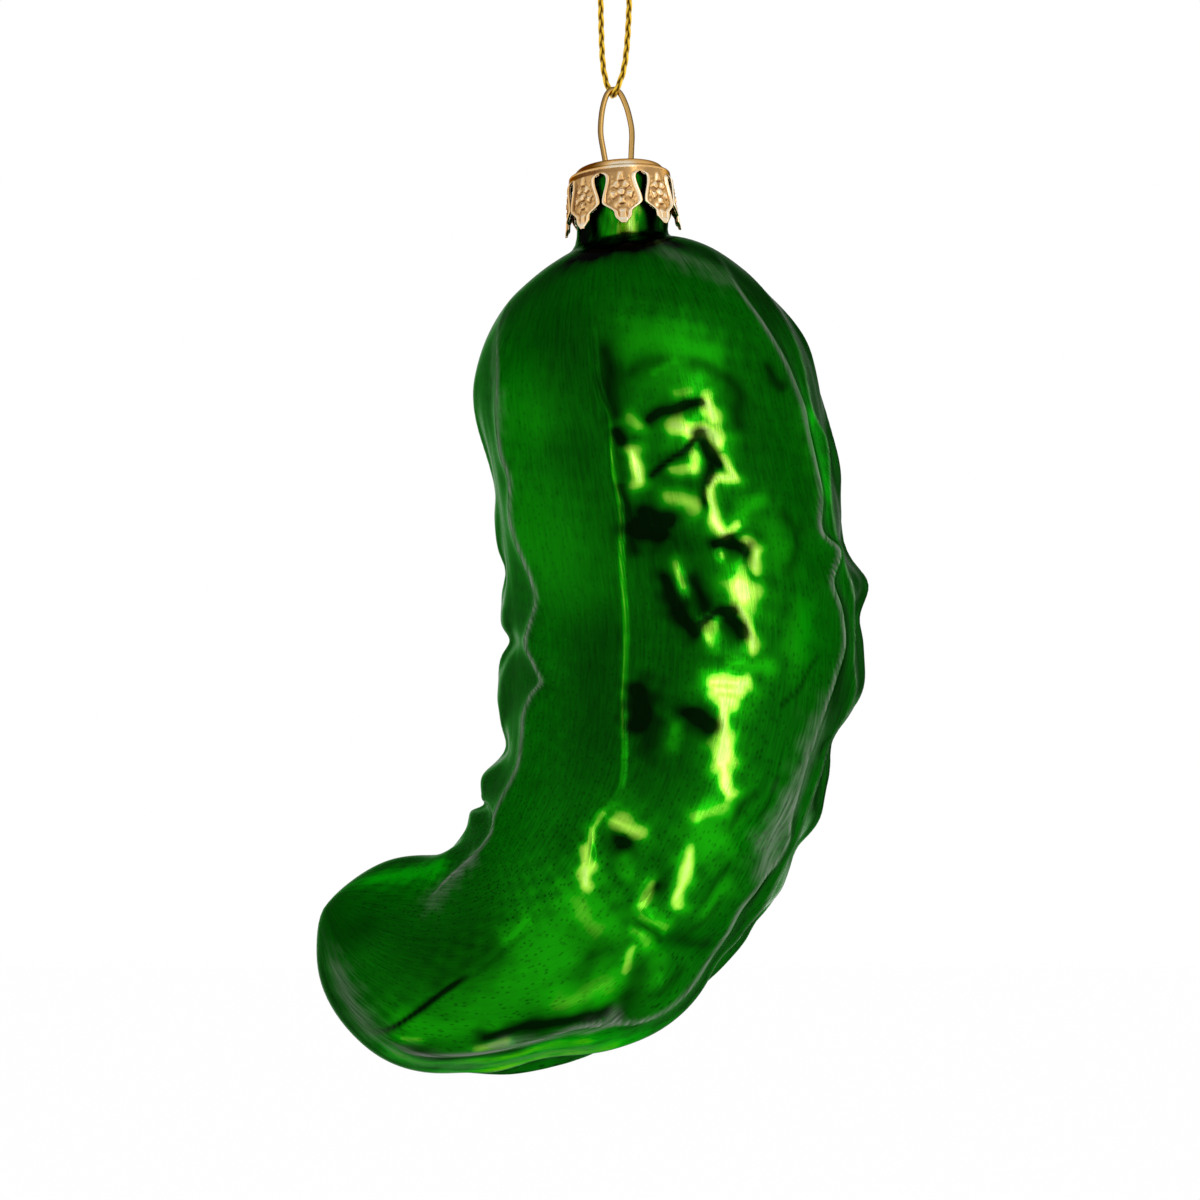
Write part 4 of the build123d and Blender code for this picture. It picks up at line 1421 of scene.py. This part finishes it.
def cap_petals(cap):
    """Grid of each petal, depth down from the rim and across from edge to edge, and its shine.

    The painted shine grows with the relief and where it faces up, and a painted dark reflection darkens it
    at the left of the rim.
    """
    depth = cap.petal_length * np.linspace(0, 1, PETAL_ROWS) ** 0.95
    half, half_pitch = petal_half_width(cap, depth)
    gather = np.pi / 2 * 0.8
    share = np.sin(np.linspace(-1, 1, PETAL_COLUMNS) * gather) / np.sin(gather)
    x = half[:, None] * share[None]
    down = np.broadcast_to(depth[:, None], x.shape)
    relief = petal_relief(cap, x, down, np.broadcast_to(half[:, None], x.shape))
    flare = cap.petal_flare * (depth / cap.petal_length)
    skirt = cap.rim_radius + flare[:, None] + STAMP_HEIGHT * relief
    spread = x / half_pitch * np.pi / cap.petals
    # Painted light and shade: lighter on the relief and on edges that face up, darker at the left of the
    # rim
    facing_up = np.gradient(relief, axis=0) + 0.5 * np.gradient(relief, axis=1)
    shine = np.clip(PETAL_TONE + RELIEF_TONE * relief + EDGE_TONE * facing_up, 0, 1)
    near_rim = ease((0.6 * MM - depth) / (0.2 * MM))[:, None]
    grids, shines = [], []
    for i in range(cap.petals):
        turn = spread + i * 2 * np.pi / cap.petals
        grids.append(cap_point(cap, skirt, turn, -down))
        from_left = turn - 2 * np.pi * (i > cap.petals // 2) - RIM_BROWN_AT
        brown = RIM_BROWN * np.exp(-((from_left / RIM_BROWN_SPREAD) ** 2)) * near_rim
        shines.append(np.clip(shine - brown, 0, 1))
    return grids, shines


def cap_dome(cap):
    """Grid of the dome and bead: a flat dome, height - rise*(r/R)^p, then a quarter round to the rim.

    Points inside a hole for the wire move out to its edge.
    """
    per_petal = PETAL_COLUMNS - 1
    columns = per_petal * cap.petals
    turn = (np.arange(columns) - per_petal // 2) * 2 * np.pi / columns
    radius_in = np.linspace(0.04, 1, DOME_ROWS) * cap.dome_radius
    rise = cap.dome_height - cap.bead_height
    height_in = cap.dome_height - rise * (radius_in / cap.dome_radius) ** DOME_POWER
    quarter = np.linspace(0, np.pi / 2, BEAD_ROWS)[1:]
    radius_out = cap.dome_radius + (cap.rim_radius - cap.dome_radius) * np.sin(quarter)
    height_out = cap.bead_height * np.cos(quarter)
    radius = np.concatenate([radius_in, radius_out])[:, None]
    height = np.concatenate([height_in, height_out])[:, None]
    flat = np.stack(np.broadcast_arrays(radius * np.sin(turn), radius * np.cos(turn)), axis=-1)
    for side in (-1, 1):
        away = flat - np.array([side * cap.hole_place, 0])
        distance = np.linalg.norm(away, axis=-1, keepdims=True)
        flat = np.where(distance < cap.hole_radius, flat + away * (cap.hole_radius / distance - 1), flat)
    reach = np.linalg.norm(flat, axis=-1)
    around = np.arctan2(flat[..., 0], flat[..., 1])
    return cap_point(cap, reach, around, np.broadcast_to(height, reach.shape)), flat


def build_cap():
    """The cap as one sheet: dome and petals joined along the rim, then given its thickness inwards."""
    cap = sizes_of("pickle_cap")
    dome, flat = cap_dome(cap)
    petals, shines = cap_petals(cap)
    points = [dome.reshape(-1, 3)]
    faces = [grid_faces(*dome.shape[:2], True)]
    towards = np.arctan2(flat[..., 0], flat[..., 1])
    reach = np.linalg.norm(flat, axis=-1) / cap.dome_radius
    # Painted dark reflection on the left of the dome and painted highlight at its front edge
    brown = DOME_BROWN * np.exp(-(((towards - DOME_BROWN_AT) / DOME_BROWN_SPREAD) ** 4))
    gleam = GLEAM * np.exp(-((towards / GLEAM_SPREAD) ** 4))
    tone = DOME_TONE - brown * ease((1.10 - reach) / 0.02) + gleam * ease((reach - 0.90) / 0.08)
    values = [tone.ravel()]
    middle = flat.reshape(-1, 2)[faces[0]].mean(axis=1)
    for side in (-1, 1):
        apart = np.linalg.norm(middle - np.array([side * cap.hole_place, 0]), axis=-1)
        keep = apart > 0.99 * cap.hole_radius
        faces[0], middle = faces[0][keep], middle[keep]
    crown = EYE + DOWN_NECK * (cap.drop - cap.dome_height)
    first_ring = np.arange(dome.shape[1])
    start = len(points[0])
    points.append(crown[None])
    values.append(np.array([TOP_TONE]))
    fan = np.stack([np.full(len(first_ring), start), first_ring, np.roll(first_ring, -1)], axis=-1)
    start += 1
    for grid, shine in zip(petals, shines):
        points.append(grid.reshape(-1, 3))
        faces.append(grid_faces(*grid.shape[:2], False) + start)
        values.append(shine.ravel())
        start += len(points[-1])
    piece = make_piece("stamped_cap", np.concatenate(points), np.concatenate(faces), fan, stamped_gold(),
                       "hanger", "crown_cap", "gold_cap")
    add_value(piece, "relief", np.concatenate(values))
    weld = piece.modifiers.new("weld", "WELD")
    weld.merge_threshold = 0.02 * MM
    wall = piece.modifiers.new("sheet", "SOLIDIFY")
    wall.thickness = cap.sheet
    wall.offset = -1.0
    wall.use_even_offset = False


def build_wire():
    """The spring wire: a round tube on a smooth line through both sides of the loop and its legs."""
    lines = sizes_of("pickle_lines")
    side = np.array(WIRE_SIDE) * MM
    left = np.stack([-side[::-1, 1], side[::-1, 0]], axis=-1)
    route = np.concatenate([left, side[1:, ::-1]])
    path = through(route, 24)
    top = EYE + UP_NECK * lines.loop_top
    line = top + path[:, :1] * ACROSS_NECK + path[:, 1:] * DOWN_NECK
    line, _ = spaced(line, WIRE_STEPS)
    grid = tube(line, lines.wire_diameter / 2, WIRE_SIDES, FRONT)
    wire = make_piece("loop_wire", *turned_out(grid), wire_gold(), "hanger", "wire_hanger", "gold_wire")
    # Painted shade and highlight: how far each side of the tube turns towards the front
    facing = np.cos(np.linspace(0, 2 * np.pi, WIRE_SIDES, endpoint=False) - 0.35)
    add_value(wire, "facing", np.concatenate([np.tile(facing, len(line)), [0, 0]]))


def braided(line, places, lines, reference):
    """Strands of a flat braid along a line: a*sin(p) to the side and b*sin(2p) up, evenly apart in p.

    With the meshes come each vertex's place on its strand and its distance from the cord's middle.
    """
    tangent, side, upper = line_frame(line, reference)
    strand = STRAND_SHARE * lines.cord_diameter
    reach = lines.cord_diameter / 2 - strand
    ring = np.linspace(0, 2 * np.pi, STRAND_SIDES, endpoint=False)
    lay = np.stack(np.broadcast_arrays(
        np.sin(ring)[None],
        np.cos(ring)[None],
        places[:, None] / (0.2 * MM),
    ), axis=-1)
    lay = np.concatenate([lay.reshape(-1, 3), lay[0, :1], lay[-1, :1]])
    meshes, crowns = [], []
    for i in range(STRANDS):
        phase = 2 * np.pi * (places / lines.braid_length + i / STRANDS)
        sway = reach * np.sin(phase)[:, None] * side
        lift = BRAID_LIFT * reach * np.sin(2 * phase)[:, None] * upper
        grid = tube(line + (sway + lift), strand, STRAND_SIDES, reference)
        meshes.append(turned_out(grid))
        away = np.linalg.norm(grid[1:-1] - line[:, None], axis=-1) / (lines.cord_diameter / 2)
        crowns.append(np.concatenate([away.ravel(), [0.5, 0.5]]))
    return meshes, [lay] * STRANDS, crowns


def knot_lines(lines, bottom):
    """Lines of the knot over its bottom: a trefoil, then two tails that leave its upper half.

    The trefoil is (sin t + 2 sin 2t, sin 3t, cos t - 2 cos 2t), scaled to the knot's size.
    """
    t = np.linspace(0, 2 * np.pi, KNOT_STEPS)
    trefoil = np.stack([
        np.sin(t) + 2 * np.sin(2 * t),
        np.sin(3 * t),
        np.cos(t) - 2 * np.cos(2 * t),
    ], axis=-1)
    size = np.array([lines.knot_width, lines.knot_width, lines.knot_height])
    coil = trefoil * ((size - lines.cord_diameter) / TREFOIL_SPAN)
    coil[:, 2] += bottom + lines.cord_diameter / 2 - coil[:, 2].min()
    tails = []
    for side in (-1, 1):
        foot = np.array([side * TAIL_FOOT * MM, 0, bottom + 0.8 * lines.knot_height])
        rise = np.array(TAIL) * (side, side, 1) * MM
        tails.append(through(foot + rise, 30))
    return [coil, *tails]


def braid_piece(name, strands, material, node):
    """One piece of the cord from its strands' meshes, lays and crowns."""
    meshes, lays, crowns = strands
    piece = make_piece(name, *joined(meshes), material, "cord_loop", node, "gold_cord")
    add_vector(piece, "lay", np.concatenate(lays))
    add_value(piece, "crown", np.concatenate(crowns))
    return piece


def build_cord():
    """The cord: three braided strands along the route's NURBS line, and the knot that closes the loop."""
    lines = sizes_of("pickle_lines")
    material = cord_gold()
    route = np.array(CORD_ROUTE) * MM + EYE
    line, places = spaced(nurbs_line(route, 40), CORD_STEPS)
    cord = braid_piece("braided_cord", braided(line, places, lines, CORD_SIDE), material, "hang_cord")
    strands = [[], [], []]
    for path in knot_lines(lines, route[0, 2] - 0.3 * MM):
        even, steps = spaced(path, KNOT_STEPS)
        for whole, part in zip(strands, braided(even, steps, lines, KNOT_SIDE)):
            whole += part
    knot = braid_piece("tied_knot", strands, material, "cord_knot")


def floor_material():
    """Pale table that the camera sees as white with a faint shadow, and reflections as lit at the right."""
    colours = sizes_of("pickle_colours")
    material, shader = new_material("pale_floor")
    camera_ray = shader.add("ShaderNodeLightPath", output="Is Camera Ray")
    glossy_ray = shader.add("ShaderNodeLightPath", output="Is Glossy Ray")
    across = shader.axes(shader.place())[0]
    lit = shader.ramp(across + 0.5, (0.46, 0.0), (0.62, 1.0))
    matt = shader.add("ShaderNodeBsdfDiffuse", None, {"Color": opaque(colours.floor)})
    levels = (1.0, FLOOR_DIM, FLOOR_BRIGHT)
    white, dim, bright = (shader.add("ShaderNodeEmission", None, {"Strength": level}) for level in levels)
    seen = shader.mixed(camera_ray * FLOOR_WHITE, matt, white)
    shader.surface(shader.mixed(glossy_ray, seen, shader.mixed(lit, dim, bright)))
    return material


def build_floor(stage):
    """A square table top below the toe that ends a little in front of the object."""
    drop = CAD_BOX[0][2] - stage.floor_drop
    reach = np.linspace(-1, 1, FLOOR_POINTS) * stage.floor_reach
    x, y = np.meshgrid(reach, reach, indexing="ij")
    y = y + stage.floor_reach - stage.floor_front
    vertices = np.stack([x, y, np.full_like(x, drop)], axis=-1).reshape(-1, 3)
    mesh = bpy.data.meshes.new("floor")
    faces = grid_faces(FLOOR_POINTS, FLOOR_POINTS, False)[:, ::-1]
    mesh.from_pydata(vertices.tolist(), [], faces.tolist())
    mesh.materials.append(floor_material())
    floor = bpy.data.objects.new("floor", mesh)
    bpy.context.scene.collection.objects.link(floor)


def soft_light(shader, axes, direction, edge, core, strength):
    """A round light: the strength times a ramp from its edge to its core, by the cosine from its middle."""
    x, y, z = (part * share for part, share in zip(axes, direction))
    return strength * shader.ramp(x + y + z, (edge, 0.0), (core, 1.0))


def build_world():
    """White to the camera. Reflections see a pale studio, dimmer at the back right, and its soft lights."""
    world = bpy.data.worlds.new("studio")
    world.use_nodes = True
    bpy.context.scene.world = world
    shader = Shader(world.node_tree)
    camera_ray = shader.add("ShaderNodeLightPath", output="Is Camera Ray")
    axes = shader.axes(shader.add("ShaderNodeTexCoord", output="Generated"))
    x, y, z = axes
    behind = shader.ramp(y, (0.45, 0.0), (0.85, 1.0))
    right = shader.ramp(x, (0.30, 0.0), (0.95, 1.0))
    right_half = shader.ramp(x * 0.5 + 0.5, (0.35, 0.0), (0.62, 1.0))
    low = (1 - 0.6 * z).at_least(0.8).at_most(1.15)
    studio = (0.92 + 0.15 * right) * low + soft_light(shader, axes, *UMBRELLA)
    studio = studio * (1 - 0.6 * behind * right_half)
    for light in BACK_LIGHTS:
        studio = studio + soft_light(shader, axes, *light)
    level = studio * (1 - camera_ray) + camera_ray
    background = shader.add("ShaderNodeBackground", None, {"Color": level})
    shader.add("ShaderNodeOutputWorld", None, {"Surface": background})


def aim(thing, place, target):
    """Puts a lamp or camera at a place, turned to look at the target."""
    thing.location = place
    thing.rotation_euler = (Vector(target) - Vector(place)).to_track_quat("-Z", "Y").to_euler()


def build_lamps(stage):
    """One tall softbox at the right of the camera."""
    middle = np.array([0.0, 0.0, stage.camera_height])
    direction = np.array([
        np.sin(stage.key_turn) * np.cos(stage.key_rise),
        -np.cos(stage.key_turn) * np.cos(stage.key_rise),
        np.sin(stage.key_rise),
    ])
    lamp = bpy.data.lights.new("key_softbox", "AREA")
    lamp.shape = "RECTANGLE"
    lamp.size = stage.key_width
    lamp.size_y = stage.key_height
    lamp.energy = stage.key_power
    carrier = bpy.data.objects.new("key_softbox", lamp)
    bpy.context.scene.collection.objects.link(carrier)
    aim(carrier, middle + direction * stage.key_distance, middle)


def build_camera(stage):
    """A level camera that looks straight at the front."""
    lens = bpy.data.cameras.new("front_camera")
    lens.lens = stage.focal_length
    lens.sensor_width = stage.sensor_width
    lens.clip_start = 0.01
    camera = bpy.data.objects.new("front_camera", lens)
    bpy.context.scene.collection.objects.link(camera)
    place = np.array([stage.camera_side, -stage.camera_distance, stage.camera_height])
    aim(camera, place, place + np.array([0, 1, 0]))
    bpy.context.scene.camera = camera


class PICKLE_OT_cord(bpy.types.Operator):
    """Build the braided cord and its knot"""

    bl_idname = "pickle.cord"
    bl_label = "Cord"

    def execute(self, context):
        build_cord()
        return {"FINISHED"}


class PICKLE_OT_wire(bpy.types.Operator):
    """Build the wire hanger"""

    bl_idname = "pickle.wire"
    bl_label = "Wire hanger"

    def execute(self, context):
        build_wire()
        return {"FINISHED"}


class PICKLE_OT_cap(bpy.types.Operator):
    """Build the stamped crown cap"""

    bl_idname = "pickle.cap"
    bl_label = "Crown cap"

    def execute(self, context):
        build_cap()
        return {"FINISHED"}


class PICKLE_OT_glass(bpy.types.Operator):
    """Build the lacquered glass shell"""

    bl_idname = "pickle.glass"
    bl_label = "Glass shell"

    def execute(self, context):
        build_glass()
        return {"FINISHED"}


class PICKLE_OT_stage(bpy.types.Operator):
    """Build the camera, floor and light"""

    bl_idname = "pickle.stage"
    bl_label = "Stage"

    def execute(self, context):
        stage = context.scene.pickle_stage
        build_camera(stage)
        build_floor(stage)
        build_world()
        build_lamps(stage)
        context.scene.view_settings.view_transform = "Standard"
        return {"FINISHED"}


class PICKLE_PT_panel(bpy.types.Panel):
    """Lists the pieces"""

    bl_idname = "PICKLE_PT_panel"
    bl_label = "Pickle Ornament"
    bl_space_type = "VIEW_3D"
    bl_region_type = "UI"
    bl_category = "Pickle"

    def draw(self, context):
        for step in STEPS:
            self.layout.operator(step.bl_idname)


GROUPS = {
    "pickle_glass": PickleGlassSizes,
    "pickle_cap": PickleCapSizes,
    "pickle_lines": PickleLineSizes,
    "pickle_colours": PickleColours,
    "pickle_stage": PickleStage,
}
STEPS = [PICKLE_OT_stage, PICKLE_OT_cord, PICKLE_OT_wire, PICKLE_OT_cap, PICKLE_OT_glass]


def register():
    """Register the classes and hang the property groups on the scene."""
    for name, group in GROUPS.items():
        bpy.utils.register_class(group)
        setattr(bpy.types.Scene, name, bpy.props.PointerProperty(type=group))
    for step in STEPS + [PICKLE_PT_panel]:
        bpy.utils.register_class(step)


def unregister():
    """Undo register."""
    for step in [PICKLE_PT_panel] + STEPS[::-1]:
        bpy.utils.unregister_class(step)
    for name, group in GROUPS.items():
        delattr(bpy.types.Scene, name)
        bpy.utils.unregister_class(group)


def main():
    """Build everything."""
    register()
    bpy.ops.pickle.stage()
    bpy.ops.pickle.cord()
    bpy.ops.pickle.wire()
    bpy.ops.pickle.cap()
    bpy.ops.pickle.glass()


if __name__ == "__main__":
    main()
